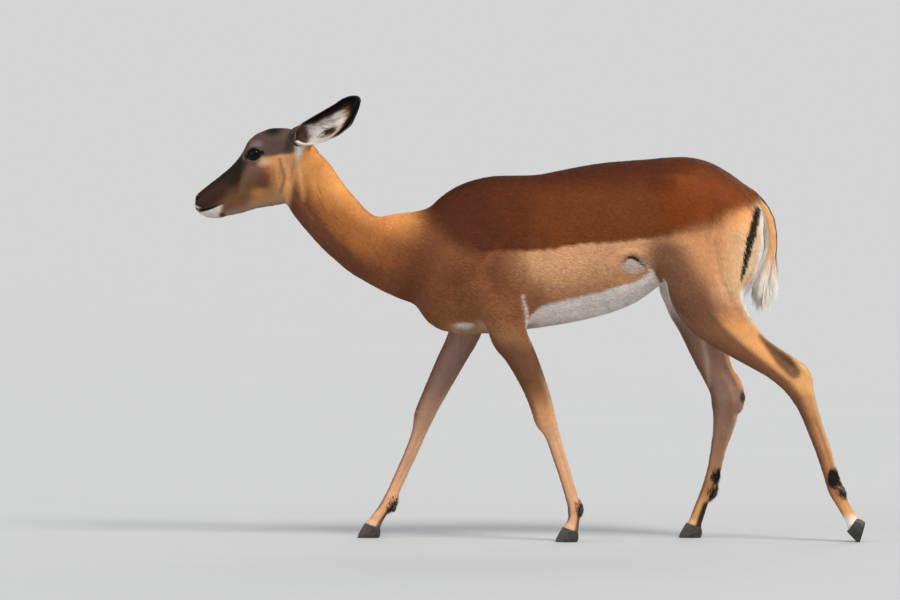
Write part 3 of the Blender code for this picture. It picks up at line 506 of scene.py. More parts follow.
# Ridges (plus) and furrows (minus): width, height, the path.
lines = [
    # fold of the upper lid
    (4.2, 1.6, (-666, 34, 914), (-652, 46, 923.5), (-634, 52, 924.5), (-616, 50, 916)),
    (2.2, -0.7, (-663, 44, 893), (-650, 52, 886.5), (-632, 54, 887.5), (-618, 52, 894)),   # and of the lower
    (2.2, -1.2, (-665, 36, 900), (-676, 32, 890), (-685, 30, 878)),             # tear duct
    (6.0, 1.3, (-655, 44, 868), (-680, 36, 849), (-705, 30, 828)),              # cheek bone
    (8.0, -1.3, (-584, 46, 895), (-570, 46, 855), (-574, 38, 815)),             # rear of the jaw
    (7.5, -1.0, (-642, 44, 862), (-634, 40, 832), (-624, 34, 800)),             # front of the cheek
    (4.0, -0.6, (-612, 44, 872), (-602, 44, 845), (-604, 40, 815)),
    (1.2, -2.2, (-769, 18.5, 771.5), (-755.3, 23.5, 773.5), (-734.8, 26.2, 780), (-715, 26.8, 788)),  # mouth
    (2.2, 0.7, (-766, 20, 776), (-755.3, 25, 777.5), (-734.8, 27, 784.5)),      # lip over it
    (1.1, -1.3, (-782, 0, 799), (-781.5, 0, 786), (-776, 0, 774)),              # cleft of the lip
    (3.0, -7.5, (-779, 10, 796.5), (-775.5, 17.5, 800), (-769, 21.5, 806.5), (-765.5, 22, 810.5)),  # nostril
    (2.0, 0.8, (-780, 10, 803.5), (-776.5, 16.5, 808.5), (-769, 19, 813.5)),    # its upper rim
    (1.8, 0.9, (-772, 19, 795), (-766, 23.5, 800), (-761, 23.5, 807)),          # its wing
    # furrow of the jugular vein
    (11, -3.0, (-545, 36, 800), (-470, 46, 705), (-390, 52, 630), (-300, 60, 580)),
    (15, -1.6, (-500, 44, 840), (-430, 48, 750), (-340, 60, 700)),
    (17, -4.8, (10, 100, 730), (6, 104, 650), (-12, 90, 575)),                  # rear of the shoulder
    (13, -4.6, (-60, 94, 720), (-112, 96, 650), (-95, 100, 590)),
    (8.5, 3.2, (-150, 80, 800), (-130, 92, 730), (-115, 100, 670)),             # spine of the blade
    (7.0, -3.4, (478, 78, 800), (500, 82, 720), (492, 80, 640), (480, 74, 570)),     # muscles of the haunch
    (9.0, -5.8, (432, 95, 790), (424, 104, 700), (440, 100, 620), (478, 100, 540)),
    (4.0, -2.2, (388, 100, 640), (412, 100, 590), (448, 96, 545)),              # creases over the knee
    # hollow of the hock
    (10.5, -4.0, (538.5, 88, 478), (563.9, 86, 450.9), (594.4, 85, 420.5), (613, 85, 399)),
    (3.8, 1.4, (530, 88, 462), (552, 88, 413.5), (576, 87, 392.5), (604, 87, 368)),     # edge of the shin
    # flank fold
    (4.5, -6.0, (212, 102, 654), (224, 104, 664), (238, 104, 665), (252, 102, 657), (264, 100, 642)),
    # skin over it
    (8.0, 4.0, (205, 106, 672), (236, 106, 679), (264, 104, 668), (284, 102, 642), (310, 98, 604)),
]
# Lower legs: hind or not, side, top and bottom of the cannon bone, height of the knee or hock.
cannons = [(False, -1, 0.262, 0.105, 0.300), (False, 1, 0.262, 0.112, 0.303),
           (True, -1, 0.300, 0.140, 0.350), (True, 1, 0.275, 0.135, 0.320)]


def limbForm(p):
    # Bone, tendons and joints of the lower legs, as heights over the plain limb.
    hind, side, behind, out = limbPlace(p)
    z = p[:, 2]
    height = np.zeros(len(p))
    for rear, s, top, bottom, joint in cannons:
        shaft = ramp(z, bottom, bottom + 0.03) * fall(z, top - 0.03, top)
        groove = -0.0019 * bell(behind, 0.0050, 0.0030) * shaft
        sinew = 0.0009 * bell(behind, 0.0120, 0.0036) * shaft
        knee = 0.0012 * bell(z, joint, 0.016) * bell(np.abs(out), 0.016, 0.008)
        row = -0.0008 * bell(z, joint - 0.002, 0.0025) * bell(behind, -0.018, 0.014) * (not rear)
        fetlock = 0.0016 * bell(z, bottom - 0.020, 0.010) * ramp(behind, 0.004, 0.014)
        split = -0.0022 * bell(out, 0.0, 0.0030) * fall(z, 0.040, 0.062) * ramp(-behind, -0.012, 0.0)
        height += ((hind == rear) & (side == s)) * (groove + sinew + knee + row + fetlock + split)
    for foot in feet:                 # the skin spreads to meet the top of the hoof
        local, over = overCoronet(p, foot)
        near = (np.abs(local[:, :2]).max(axis=1) < 0.032) & (np.abs(over) < 0.03)
        height += near * hoof["flare"] * fall(over, 0.001, 0.013)
    return height


def eyeFrame(side):
    # Middle of the eyeball, the way it looks, the way to the corner at the nose, and up.
    slant = math.radians(eye["slant"])
    gaze = unit(np.array(eye["aim"]) * (1, side, 1))
    long = np.array((-math.cos(slant), 0.0, -math.sin(slant)))
    long = unit(long - gaze * (long @ gaze))
    up = np.cross(gaze, long)
    return np.array(eye["spot"]) * (1, side, 1), gaze, long, up if up[2] > 0 else -up


def lidEdge(u):
    # Heights of both lids over the line through the corners; u runs from -1 (rear) to 1 (nose).
    arch = np.maximum(0.0, 1 - np.abs(u) ** 2.2)
    return eye["halfHigh"] * 1.06 * arch ** 0.62, -eye["halfHigh"] * 0.88 * arch ** 0.72


def eyeField(p, side, cornerShare=1.0):
    # Points as seen from the eye's middle, how far away, how far outside the lids' opening, and if in front.
    middle, gaze, long, up = eyeFrame(side)
    rel = p - middle
    u, h = rel @ long / eye["halfLong"], rel @ up
    upper, lower = lidEdge(np.clip(u, -1, 1))
    gap = np.maximum(np.maximum(h - upper, lower - h), (np.abs(u) - 1) * eye["halfLong"] * cornerShare)
    return rel, np.linalg.norm(rel, axis=1), gap, rel @ gaze > 0


def openEyes(points):
    # The skin sinks behind the ball inside the opening, and is lifted over it round the opening.
    ball = eye["radius"] + eye["lidThick"]
    for side in (-1, 1):
        rel, r, gap, ahead = eyeField(points, side)
        t = ramp(gap, 0.004, 0.014)
        lifted = np.maximum(r, ball * (1 - t) + 0.012 * t)
        close = (r > ball) & (gap < 0.0045)
        lifted = np.where(close, r + (ball - r) * fall(gap, 0.0, 0.0045) * 0.85, lifted)
        t = ramp(gap, -0.0012, 0.0002)
        wanted = np.minimum(r, eye["radius"] - 0.0040) * (1 - t) + lifted * t
        near = ahead & (r < 0.034)
        spots = eyeFrame(side)[0] + rel * (wanted / np.maximum(r, 1e-9))[:, None]
        points = np.where(near[:, None], spots, points)
    return points


def coatDepth(p):
    trunk = ramp(p[:, 2], 0.36, 0.50) * ramp(p[:, 0], -0.56, -0.44)
    return skin["coatOnLimbs"] + (skin["coatOnBody"] - skin["coatOnLimbs"]) * trunk


def carvedSkin():
    mesh = fleshMesh()
    points, tris = pointsOf(mesh), trisOf(mesh)
    points = points - pointNormals(points, tris) * coatDepth(points)[:, None]
    normals = pointNormals(points, tris)
    q = folded(points)
    height = limbForm(points)
    for row in metres(swells):
        height += row[6] * np.exp(-(((q - row[:3]) / row[3:6]) ** 2).sum(axis=1))
    for width, size, *path in lines:
        away, share = pathDistance(q, metres(path))
        ends = np.minimum(1.0, np.minimum(share, 1 - share) * 6 + 0.35)
        height += size / 1000 * ends * bell(away, 0.0, width / 1000)
    points = openEyes(points + normals * height[:, None])
    movePoints(mesh, points)
    return mesh, points, tris


ear = {
    "length": 0.1910,
    # Share of the length, radius of the cup, how far the upper and the lower edge roll (degrees).
    "cup": [
        (0.00, 0.0160, 172, 172), (0.08, 0.0200, 150, 158), (0.20, 0.0265, 114, 120), (0.35, 0.0325, 72, 96),
        (0.50, 0.0375, 54, 90), (0.65, 0.0420, 42, 90), (0.78, 0.0420, 38, 90), (0.88, 0.0315, 44, 88),
        (0.95, 0.0205, 48, 80), (1.00, 0.0080, 50, 60),
    ],
    "root": (-0.5430, 0.0345, 0.9370),
    # The right ear is laid a little further back.
    "aim": {-1: (0.7696, 0.3937, 0.5026), 1: (0.7550, 0.3880, 0.5000)},
    "opens": (-0.42, 0.89, -0.18),
    "sag": 0.0085,         # how far the ear's middle hangs below the straight line to its tip
    "coat": 0.0007,
    "wall": 0.0022,
    "rows": 64,
    "across": 30,
}


def earSheet(side, share, turn, inward):
    # Points of the ear: share along it, turn from -1 (lower edge) to 1 (upper edge), how far in they lie.
    rows = evenCurve([(u, 0.0, 0.0, *rest) for u, *rest in ear["cup"]], 200)
    radius, upper, lower = (np.interp(share, rows[:, 0], rows[:, k]) for k in (3, 4, 5))
    aim = unit(np.array(ear["aim"][side]))
    opens = np.array(ear["opens"])
    opens = unit(opens - aim * (opens @ aim))
    across = np.cross(opens, aim)
    across = across if across[2] > 0 else -across
    a = np.radians(-lower + (upper + lower) * (turn + 1) / 2)
    closing = np.where(inward > 0.0015, np.minimum(1.0, np.maximum(share, 0.0) / 0.15), 1.0)
    r = np.maximum(0.0008, (radius - inward) * closing)
    middle = np.array(ear["root"]) + aim * (share * ear["length"])[:, None]
    middle = middle + (opens * 0.010 - across * ear["sag"]) * np.sin(share * np.pi)[:, None]
    spot = middle + across * (r * np.sin(a))[:, None] + opens * (radius - r * np.cos(a))[:, None]
    return spot * (1, side, 1)


def earGrid():
    # Share, turn and inside (1) or outside (0) for every point of an ear, row by row.
    n = ear["across"]
    turn = np.concatenate([np.linspace(-1, 1, n), [1.012], np.linspace(1, -1, n), [-1.012]])
    inside = np.concatenate([np.zeros(n), [0.5], np.ones(n), [0.5]])
    share = np.concatenate([np.linspace(0.0, 0.9, ear["rows"]), 1 - 0.1 * np.linspace(0.93, 0.0, 14) ** 1.6])
    return np.repeat(share, len(turn)), np.tile(turn, len(share)), np.tile(inside, len(share))


def earShape(side):
    share, turn, inside = earGrid()
    ripple = 0.0007 * np.sin(turn * 16) * (1 - turn ** 2) * ramp(share, 0.1, 0.3) * fall(share, 0.5, 0.8)
    inward = ear["coat"] + ear["wall"] * inside + ripple * (inside == 1)
    shape = bmesh.new()
    addTube(shape, earSheet(side, share, turn, inward).reshape(-1, 2 * ear["across"] + 2, 3))
    return shape


# Tail: x, z, half depth, half width, from the root to the end of its fringe.
tailRows = metres([
    (534, 798, 11, 14), (547, 780, 14.5, 17), (558.5, 753, 16, 20), (564, 720, 16.5, 22),
    (565, 685, 16.5, 23.5), (560, 655, 17, 25), (553, 625, 21.5, 27), (548, 595, 27, 28),
    (545, 570, 27, 24), (542, 545, 21, 17), (540, 528, 13, 10), (540, 517, 5, 4),
])
# Below the end of the dock there is only hair.
dock = {"root": (0.505, 0.808, 0.011, 0.014), "top": 0.798, "end": 0.6150}


def dockShape():
    shape = bmesh.new()
    rows = []
    for x, z, half, width in [dock["root"], *tailRows]:
        if z > dock["end"]:
            thin = 0.45 + 0.35 * (z - dock["end"]) / (dock["top"] - dock["end"])
            rows.append((x, z, half * thin, half * thin, width * thin, 0.0))
    rows.append((0.5520, dock["end"], 0.0020, 0.0020, 0.0020, 0.0))
    addLimb(shape, rows, 1, 40, 20)
    return shape


def makeSkin():
    mesh, points, tris = carvedSkin()
    report(f"skin carved, {len(tris)} triangles")
    whole = opened(mesh)
    for piece in (earShape(-1), earShape(1), dockShape()):
        part = pour(piece)
        whole.from_mesh(part)
        bpy.data.meshes.remove(part)
    pour(whole, mesh)
    mesh.polygons.foreach_set("use_smooth", np.ones(len(mesh.polygons), bool))
    return addThing("skin", mesh), points, tris


skinObject, skinPoints, skinTris = makeSkin()


# Colours of the coat, as sRGB hex. Some stand for painted light or shade where they are laid.

coatHex = {
    "saddle": "#5a2808", "saddleTop": "#3e1b0d", "saddleMid": "#763b0a", "shoulder": "#7b492a",
    "breast": "#8c5a39", "flank": "#cd9a70", "flankLow": "#a97350", "belly": "#e8ddd6", "patch": "#beb4b0",
    "foldShadowAndDarkHair": "#271813", "neck": "#9a5d2c", "neckSunlit": "#f8ac62", "neckPale": "#f2b777",
    "nape": "#8a4a20", "throat": "#653a28", "neckBaseShaded": "#6a3a22", "haunch": "#803b02",
    "rumpSun": "#f5b070", "thigh": "#cd9263", "thighFrontShade": "#704834", "thighRear": "#efc79a",
    "gaskin": "#dd9c62", "leg": "#cd965f", "legUpper": "#5f3a28", "legPale": "#dbab8a", "shank": "#a8724a",
    "legFront": "#6b4028", "legInside": "#9c7e72", "hindInsideShaded": "#85695c", "legSun": "#e0a568",
    "hollow": "#4c2f24", "stripe": "#0e0a09", "white": "#efeae2", "cream": "#e3c19a", "face": "#221006",
    "muzzle": "#2f190c", "muzzleLow": "#5a3e2b", "cheek": "#cf9059", "cheekRear": "#e8ab78",
    "cheekShade": "#5a3325", "underEye": "#7b5b4b", "temple": "#55443c", "forehead": "#5c4034",
    "brow": "#6c5e60", "crown": "#1d1613", "jaw": "#a58a76", "nose": "#0e0b0b", "lid": "#0c0909",
    "chin": "#d6cec8", "earBack": "#3c271b", "earInside": "#f6f1ea", "earDark": "#4a3320",
    "earRoot": "#7a5f50", "earMottle": "#8a735d", "earRim": "#14100f", "earTan": "#b2813f",
    "tailTan": "#d9a671",
}


def linear(hexCode):
    value = np.array([int(hexCode[i:i + 2], 16) for i in (1, 3, 5)]) / 255.0
    return np.where(value <= 0.04045, value / 12.92, ((value + 0.055) / 1.055) ** 2.4)


def laid(colour, mask, tone):
    # The colour with another laid over it; the tone is a name from the coat or a hex code.
    mask = np.clip(mask, 0, 1)[:, None]
    return colour * (1 - mask) + linear(coatHex.get(tone, tone)) * mask


def plain(tone, count):
    return np.tile(linear(coatHex.get(tone, tone)), (count, 1))


def wobble(p, size, seed):
    # Smooth noise between -1 and 1 from a few sine waves that don't repeat together.
    draw = np.random.default_rng(seed)
    total = np.zeros(len(p))
    for _ in range(7):
        wave = draw.normal(size=3)
        wave *= 2 * np.pi / (size * np.linalg.norm(wave) * draw.uniform(0.6, 1.7))
        total += np.sin(p @ wave + draw.uniform(0, 6.28))
    return total / 3.2


# Masks take places in millimetres. One with only x and z is seen from the side.

def spotMask(q, centre, radii, soft=0.35):
    q = q[:, ::2] if len(centre) == 2 else q
    d = np.linalg.norm((q - metres(centre)) / metres(radii), axis=1)
    return fall(d, 1 - soft, 1 + soft)


def lineMask(q, path, width, soft):
    q = q[:, ::2] if len(path[0]) == 2 else q
    away, share = pathDistance(q, metres(path))
    wide = np.interp(share, np.linspace(0, 1, np.size(width)), np.atleast_1d(width))
    return fall(away * 1000, wide - soft, wide + soft)


saddleEdge = [(-300, 750), (-230, 722), (-160, 688), (-115, 680), (26, 682), (73, 691), (143, 700),
              (201, 703), (288, 713), (353, 729), (433, 752), (494, 776), (530, 800)]
bellyEdge = [(-30, 500), (-4, 525), (26, 553), (84, 568), (143, 580), (201, 597), (225, 603), (246, 612),
             (264, 624), (280, 636), (295, 650), (400, 650)]
faceEdge = [(-790, 800), (-761, 811), (-729, 834.7), (-705.5, 846), (-685, 852), (-676, 867), (-670, 900)]
neckFolds = [     # fine creases of the skin along the side of the neck, drawn as lines of painted shade
    [(-493.7, 809), (-486.7, 790), (-477.4, 769)], [(-514.8, 800), (-505.4, 781), (-493.7, 767)],
    [(-463.3, 772), (-451.6, 755), (-435.2, 743)], [(-500, 845), (-493, 822), (-483, 803)],
]
# the hollow between the shin and the heel cord, filled with painted shade
hockHollow = [(533.5, 483.7), (563.9, 450.9), (594.4, 420.5), (615, 397)]
haunchStripe = [(527, 779), (520, 745), (508.4, 700), (499, 660), (490.5, 622)]
mouth = [(-769, 18.5, 771.5), (-755.3, 23.5, 773.5), (-734.8, 26.2, 780), (-713, 26.8, 788.8)]


def overEdge(x, z, edge):
    return z - np.interp(x, *metres(edge).T)


def bodyColour(p, n):
    # Colour of the hair at each point of the head, neck, trunk and legs, with painted light and shade in
    # places, where n is the way the skin faces.
    x, z = p[:, 0], p[:, 2]
    q, side = folded(p), np.sign(p[:, 1])
    outward, rearward, upward = n[:, 1] * side, n[:, 0], n[:, 2]
    rough, fine, broad = (wobble(p, size, seed) for size, seed in ((0.030, 5), (0.009, 6), (0.120, 7)))
    hind, _, behind, out = limbPlace(p)
    fore, nearHind, farHind = ~hind, hind & (side < 0), hind & (side > 0)
    colour = plain("flank", len(p))

    def lay(mask, name, strength=1.0):
        nonlocal colour
        colour = laid(colour, mask * strength, name)

    def spot(*where):
        return spotMask(q, *where)

    def line(*where):
        return lineMask(q, *where)

    # flank, shoulder, breast and neck
    lay(fall(z - 0.10 * x, 0.560, 0.640), "flankLow", 0.7)
    front = fall(x + 0.35 * (z - 0.6) + 0.012 * broad, -0.060, 0.070)
    # the shoulder's brown, darkened in part by painted shade
    lay(front, "shoulder")
    lay(front * fall(z, 0.52, 0.64), "breast", 0.6)
    neck = fall(x - 0.45 * (z - 0.70), -0.360, -0.235)
    # the base of the neck, its reddish brown deepened by painted shade
    lay(fall(x - 0.20 * (z - 0.65), -0.290, -0.170), "neckBaseShaded")
    lay(neck, "neck")
    # the upper neck's orange, brightened as painted sunlight
    lay(neck * ramp(z + 0.5 * (x + 0.50), 0.780, 0.870), "neckSunlit", 0.85)
    # the front and underside of the neck darkened by the way the skin faces: painted shade
    under = ramp(-rearward * 0.78 - upward * 0.62, -0.10, 0.65)
    below = fall(z - 0.810 + 0.888 * (x + 0.5616) + 0.003 * rough, -0.012, 0.012)
    lay(np.maximum(under, below) * neck, "throat", 0.9)
    top = ramp(rearward * 0.60 + upward * 0.80, 0.78, 0.99) * fall(x, -0.26, -0.14)
    lay(top, "nape", 0.60 - 0.30 * ramp(z, 0.72, 0.86))

    # haunch and thigh: dark above, paler towards the rear and the leg
    lay(ramp(x, 0.27, 0.40) * ramp(z, 0.52, 0.66), "thigh")
    # front of the thigh darker: painted shade
    lay(ramp(x, 0.24, 0.30) * fall(x + 0.62 * (z - 0.60), 0.375, 0.445) * fall(z, 0.68, 0.74)
        * ramp(outward, -0.1, 0.4), "thighFrontShade", 0.85)
    lay(ramp(x - 0.25 * (z - 0.60), 0.400, 0.490) * ramp(z, 0.54, 0.62), "thighRear", 0.85)
    # saddle: sharp along the flank, soft over the haunch and the shoulder
    above = overEdge(x, z, saddleEdge) - 0.0025 * rough - 0.0012 * fine
    soft = 0.006 + 0.026 * ramp(x, 0.26, 0.40) + 0.022 * fall(x, -0.16, -0.08)
    saddle = ramp(above, -soft, soft) * ramp(x + 0.75 * (z - 0.70), -0.250, -0.150)
    lay(saddle, "saddle")
    lay(saddle * ramp(x, -0.04, 0.06) * fall(z, 0.80, 0.85), "saddleMid", 0.60)
    # the front of the saddle darker towards the withers: painted shade
    lay(saddle * fall(x, -0.14, -0.02), "saddleTop", 0.45)
    lay(ramp(above, -0.8 * soft, 0.035) * ramp(x, 0.27, 0.35), "haunch", 0.88)
    lay(spot((496, 757), (40, 26), 0.8) * fall(above, 0.0, 0.030), "rumpSun", 0.75)
    lay(ramp(upward, 0.50, 0.97) * ramp(x, -0.26, -0.10) * ramp(z, 0.68, 0.76), "saddleTop", 0.75)

    # white of the belly, with the painted shadow of the flank fold over it
    above = overEdge(x, z, bellyEdge) - 0.0018 * rough - 0.0008 * fine
    belly = fall(above, -0.0055, 0.0055) * ramp(x, -0.045, -0.020) * ramp(z, 0.42, 0.47)
    belly *= 1 - ramp(outward, 0.15, 0.45) * ramp(x - 0.262 - (0.648 - z) * 0.72, -0.004, 0.006)
    onLeg = fore & (np.abs(out) < 0.042) & (x < -0.004) & (outward > -0.2)
    lay(belly * ~onLeg, "belly")
    # the pale patch of the flank, its white greyed by painted shade
    lay(spot((238.5, 646.5), (26, 16), 0.65) * (q[:, 1] > 0.05) * (1 - belly), "patch", 0.85)
    # painted shadow along the fold of the flank
    lay(line([(212, 652), (222, 664), (236, 666), (250, 658), (263, 643)], [2, 4.6, 4.4, 1.8], 2.4)
        * (outward > 0), "foldShadowAndDarkHair", 0.95)
    lay(line([(276, 634), (304, 589), (332, 549), (395.5, 486), (451.6, 448.6)], [4.6, 4.2, 2], 3)
        * (outward > -0.6) * (side < 0), "white", 0.75)
    lay(ramp(-upward, 0.55, 0.9) * ramp(z, 0.46, 0.48) * fall(z, 0.51, 0.53) * ramp(x, -0.21, -0.17)
        * fall(x, -0.02, 0.0), "cream", 0.7)
    lay(spot((-157, 505), (21, 7.5), 0.5), "white", 0.9)
    lay(line([(-21.5, 575), (-13, 540), (-6.5, 500)], [1, 4, 3.6], 5.8) * fore * (outward > -0.3),
        "white", 0.72)

    # legs
    low = fall(z, np.where(fore, 0.44, 0.46), np.where(fore, 0.53, 0.56))
    lay(low, "leg")
    # the forearm's brown, darkened by painted shade
    lay(low * fore * ramp(z, 0.27, 0.38), "legUpper", 0.9)
    lay(low * fore * fall(z, 0.24, 0.34), "legPale", 0.65)
    lay(low * nearHind, "legSun", 0.6)
    lay(low * hind * fall(z, 0.29, 0.37) * ramp(z, 0.07, 0.12), "shank", 0.75)
    lay(low * hind * ramp(z, 0.36, 0.46), "gaskin", 0.8)
    inner = ramp(-outward, 0.10, 0.65) * fall(z, 0.58, 0.64) * ramp(z, 0.08, 0.20)
    inner *= 1 - 0.5 * fall(z, 0.22, 0.34)
    lay(inner, "legInside", 0.75)
    # the pale inside of the hind legs, greyed by painted shade
    lay(inner * hind * ramp(z, 0.16, 0.24), "hindInsideShaded", 0.8)
    lay(ramp(-outward, 0.0, 0.5) * ramp(x, 0.26, 0.30) * ramp(z, 0.50, 0.58) * fall(z, 0.64, 0.70),
        "belly", 0.9)
    # front faces of the forearms and gaskins darker: painted shade
    lay(ramp(-rearward, 0.15, 0.8) * low * ramp(z, 0.24, 0.32), "legFront", 0.75)
    lay(ramp(-rearward, 0.40, 0.95) * fall(z, 0.22, 0.30) * ramp(z, 0.04, 0.07), "legFront", 0.75)
    # rear faces of the lower legs lighter: painted light
    lay(ramp(rearward, 0.30, 0.9) * low * fall(z, 0.32, 0.42) * ramp(z, 0.10, 0.16), "cream", 0.55)
    # front half of the hind leg darker: painted shade
    lay(hind * fall(behind, -0.016, 0.006) * ramp(z, 0.10, 0.20) * fall(z, 0.54, 0.60)
        * ramp(outward, -0.3, 0.2), "thighFrontShade", 0.88)
    nearCord, farCord = heelCord[-1][:, :2] * 1000, heelCord[1][:, :2] * 1000
    # painted highlight along the near heel cord
    lay(line(nearCord + 4, 5, 6) * nearHind, "cream", 0.35)
    # painted shade in the hollow of the near hock
    lay(line(hockHollow, [2, 11.5, 18.5, 15], 6.5) * nearHind * ramp(outward, -0.4, 0.2), "hollow", 0.85)
    # painted shade in the hollow of the far hock
    lay(line(farCord[1:] - (20, 15), 7.5, 9.5) * farHind, "legFront", 0.30)
    # painted rim light along the rear edge of the far heel cord
    lay(line(farCord[:5] + (6, 3), 6, 6) * farHind, "gaskin", 0.85)
    # a paler streak inside the far gaskin: pale inner hair, brightened as painted sunlight
    lay(line([(404, 480), (417, 420), (424, 360)], [5, 5.5, 1], 7) * farHind * ramp(-outward, 0.2, 0.6),
        "cream", 0.42)
    lay(hind * ramp(z, 0.48, 0.57) * fall(z, 0.64, 0.68) * ramp(rearward, 0.45, 0.90), "white", 0.8)
    # a painted glint of light round the near hind's coronet
    lay(fall(z, 0.046, 0.074) * nearHind, "white", 0.95)
    lay(fall(z, 0.034, 0.050) * ~nearHind, "cream", 0.5)

    # black marks of the legs
    lay(nearHind * spot((706, 149), (13, 23), 0.25), "stripe")
    lay(farHind * ramp(z, 0.128, 0.136) * fall(z, 0.160, 0.168) * ramp(behind, 0.002, 0.010), "stripe")
    lay(farHind * ramp(behind, -0.002, 0.006) * fall(z, 0.078, 0.092), "stripe", 0.95)
    lay(nearHind * ramp(rearward * 0.9 - upward * 0.4, 0.5, 0.8) * fall(z, 0.100, 0.112)
        * ramp(z, 0.055, 0.075), "stripe", 0.9)
    lay(fore * ramp(behind, 0.004, 0.012) * fall(z, 0.062, 0.080), "foldShadowAndDarkHair", 0.8)
    lay(fore * ramp(-rearward, 0.65, 0.95) * fall(z, 0.070, 0.095) * ramp(z, 0.040, 0.050), "stripe", 0.6)
    lay(spot((639, 74, 421), (7, 18, 6)) * (side < 0), "stripe", 0.85)
    lay(spot((504, 74, 332), (10, 20, 15)) * (side > 0), "stripe", 0.85)

    # black stripe down the haunch, cream and then white between it and the tail
    lay(line([(545, 775), (540, 720), (530, 660), (512, 600)], 22, 6) * (x > 0.495), "cream")
    lay(line([(549, 782), (556, 730), (552, 672), (530, 620), (510, 575)], 11, 4) * (x > 0.495), "white")
    lay(ramp(rearward, 0.6, 0.9) * ramp(x, 0.45, 0.48) * fall(z, 0.765, 0.790) * ramp(z, 0.50, 0.58),
        "white")
    lay(line(haunchStripe, [7.8, 8.8, 8.2, 6.6, 2.6], 1.4) * ramp(outward, 0.0, 0.15), "stripe", 0.98)

    # head
    head = fall(x + 0.566 - 0.17 * (z - 0.789), -0.010, 0.012) * ramp(z, 0.72, 0.76)
    lay(head, "cheek")
    lay(head * ramp(x + 0.2 * (z - 0.85), -0.600, -0.560), "cheekRear", 0.85)
    lay(head * spot((-625, 839), (26, 32), 0.75), "cheekShade", 0.92)
    lay(head * fall(x - 0.3 * (z - 0.82), -0.660, -0.620), "muzzleLow", 0.85)
    lay(head * spot((-654, 870), (23, 26), 0.7), "underEye", 0.9)
    above = overEdge(x, z, faceEdge)
    lay(head * ramp(above + 0.022 * ramp(-x, 0.69, 0.74), -0.056, -0.010) * fall(x, -0.680, -0.655),
        "muzzle", 0.95)
    lay(head * ramp(above, -0.010, 0.008) * fall(x, -0.668, -0.655), "face")
    lay(head * line([(-668, 882), (-680, 860), (-695, 842)], 10, 9), "face", 0.8)
    # painted highlight on the lower cheek
    lay(head * spot((-628, 813), (20, 10), 0.7), "cheek", 0.6)
    lay(head * ramp(z - 0.900 - 0.12 * (x + 0.60) + 0.0015 * fine, -0.006, 0.006) * ramp(x, -0.695, -0.660),
        "temple")
    # painted sheen over the brow
    lay(head * spot((-646, 928.5), (22, 8.5), 0.5) * ramp(outward, 0.2, 0.6), "brow", 0.9)
    lay(head * spot((-628, 0, 955), (34, 40, 15), 0.7), "forehead", 0.8)
    lay(head * spot((-556, 0, 955), (20, 40, 20), 0.6), "forehead", 0.7)
    lay(head * spot((-602, 0, 959), (23, 42, 18), 0.45), "crown")
    lay(head * line([(-670, 914), (-669, 902), (-666.5, 892)], 2, 2.2) * ramp(outward, 0.1, 0.4),
        "jaw", 0.35)
    lay(head * spot((-620, 886), (13.5, 9.5), 0.9), "cream", 0.75)
    for k in range(5):                # streaks of painted shade down the cheek, in its furrows
        a, b = -612 + 13 * k, 878 - 6 * (k % 2)
        lay(head * line([(a, b), (a + 3, b - 22), (a - 2, b - 40)], [0.8, 1.6, 0.6], 2), "muzzleLow", 0.40)
    # painted shade along the rear edge of the jaw
    lay(head * line([(-584, 890), (-574, 850), (-582, 815)], 3.5, 3.5), "muzzleLow", 0.6)
    lay(head * ramp(-upward, 0.30, 0.8), "jaw", 0.9)
    lay(spot((-545, 38, 957), (34, 34, 26), 0.30), "temple")
    onSide = ramp(outward, 0.1, 0.5)
    lay(line([(-535, 940), (-539, 915), (-542.5, 893)], [9.5, 9, 4.5], 5.5) * onSide, "white", 0.9)
    lay(line([(-541, 895), (-540, 865), (-533, 845)], [5, 4, 1], 5) * onSide, "cream", 0.5)
    lay(line([(-540.5, 892), (-536, 844), (-530, 796)], [6, 7, 1], 9) * onSide, "neckPale", 0.65)
    # painted shade in the creases of the neck
    for fold in neckFolds:
        lay(line(fold, [0.6, 1.4, 0.4], 1.8) * ramp(outward, 0.0, 0.4), "throat", 0.50)
    lay(head * line([(-552.2, 891), (-556.9, 844), (-549.9, 807)], 1.8, 3), "muzzleLow", 0.35)

    # lips, nose and lids
    lay(line([(-783.5, 4, 785.5), (-780.5, 12, 781), (-773.5, 19, 778.5), (-768, 23, 776.5)],
             [2.4, 3.2, 2.2, 0.8], 2.2), "white", 0.75)
    chin = fall(z - 0.7725 - 0.37 * (x + 0.755), -0.0025, 0.0010)
    chin *= fall(x - 0.25 * (z - 0.765), -0.7290, -0.7160)
    lay(head * chin, "chin", 0.95)
    lay(spot((-718, 0, 762), (7.5, 30, 6), 0.4), "crown", 0.85)
    lay(line(mouth, [3.6, 3.4, 2.7, 1.8], 1), "nose")
    lay(head * nosePad(p), "nose")
    lay(lidMask(p), "lid")
    return colour * (1 + 0.035 * broad + 0.03 * wobble(p, 0.05, 8))[:, None]


def nosePad(p):
    # Bare skin between and round the nostrils.
    q = folded(p)
    pad = lineMask(q, [(-784, 0, 804), (-783, 4, 793), (-781, 2, 785)], [10.5, 6, 2], 1)
    wings = lineMask(q, [(-780, 9, 796.5), (-775.5, 17.5, 800), (-769, 21.5, 806.5), (-765, 22, 811)],
                     [6, 5.6, 5, 3.4], 0.9)
    return np.maximum(pad, wings)


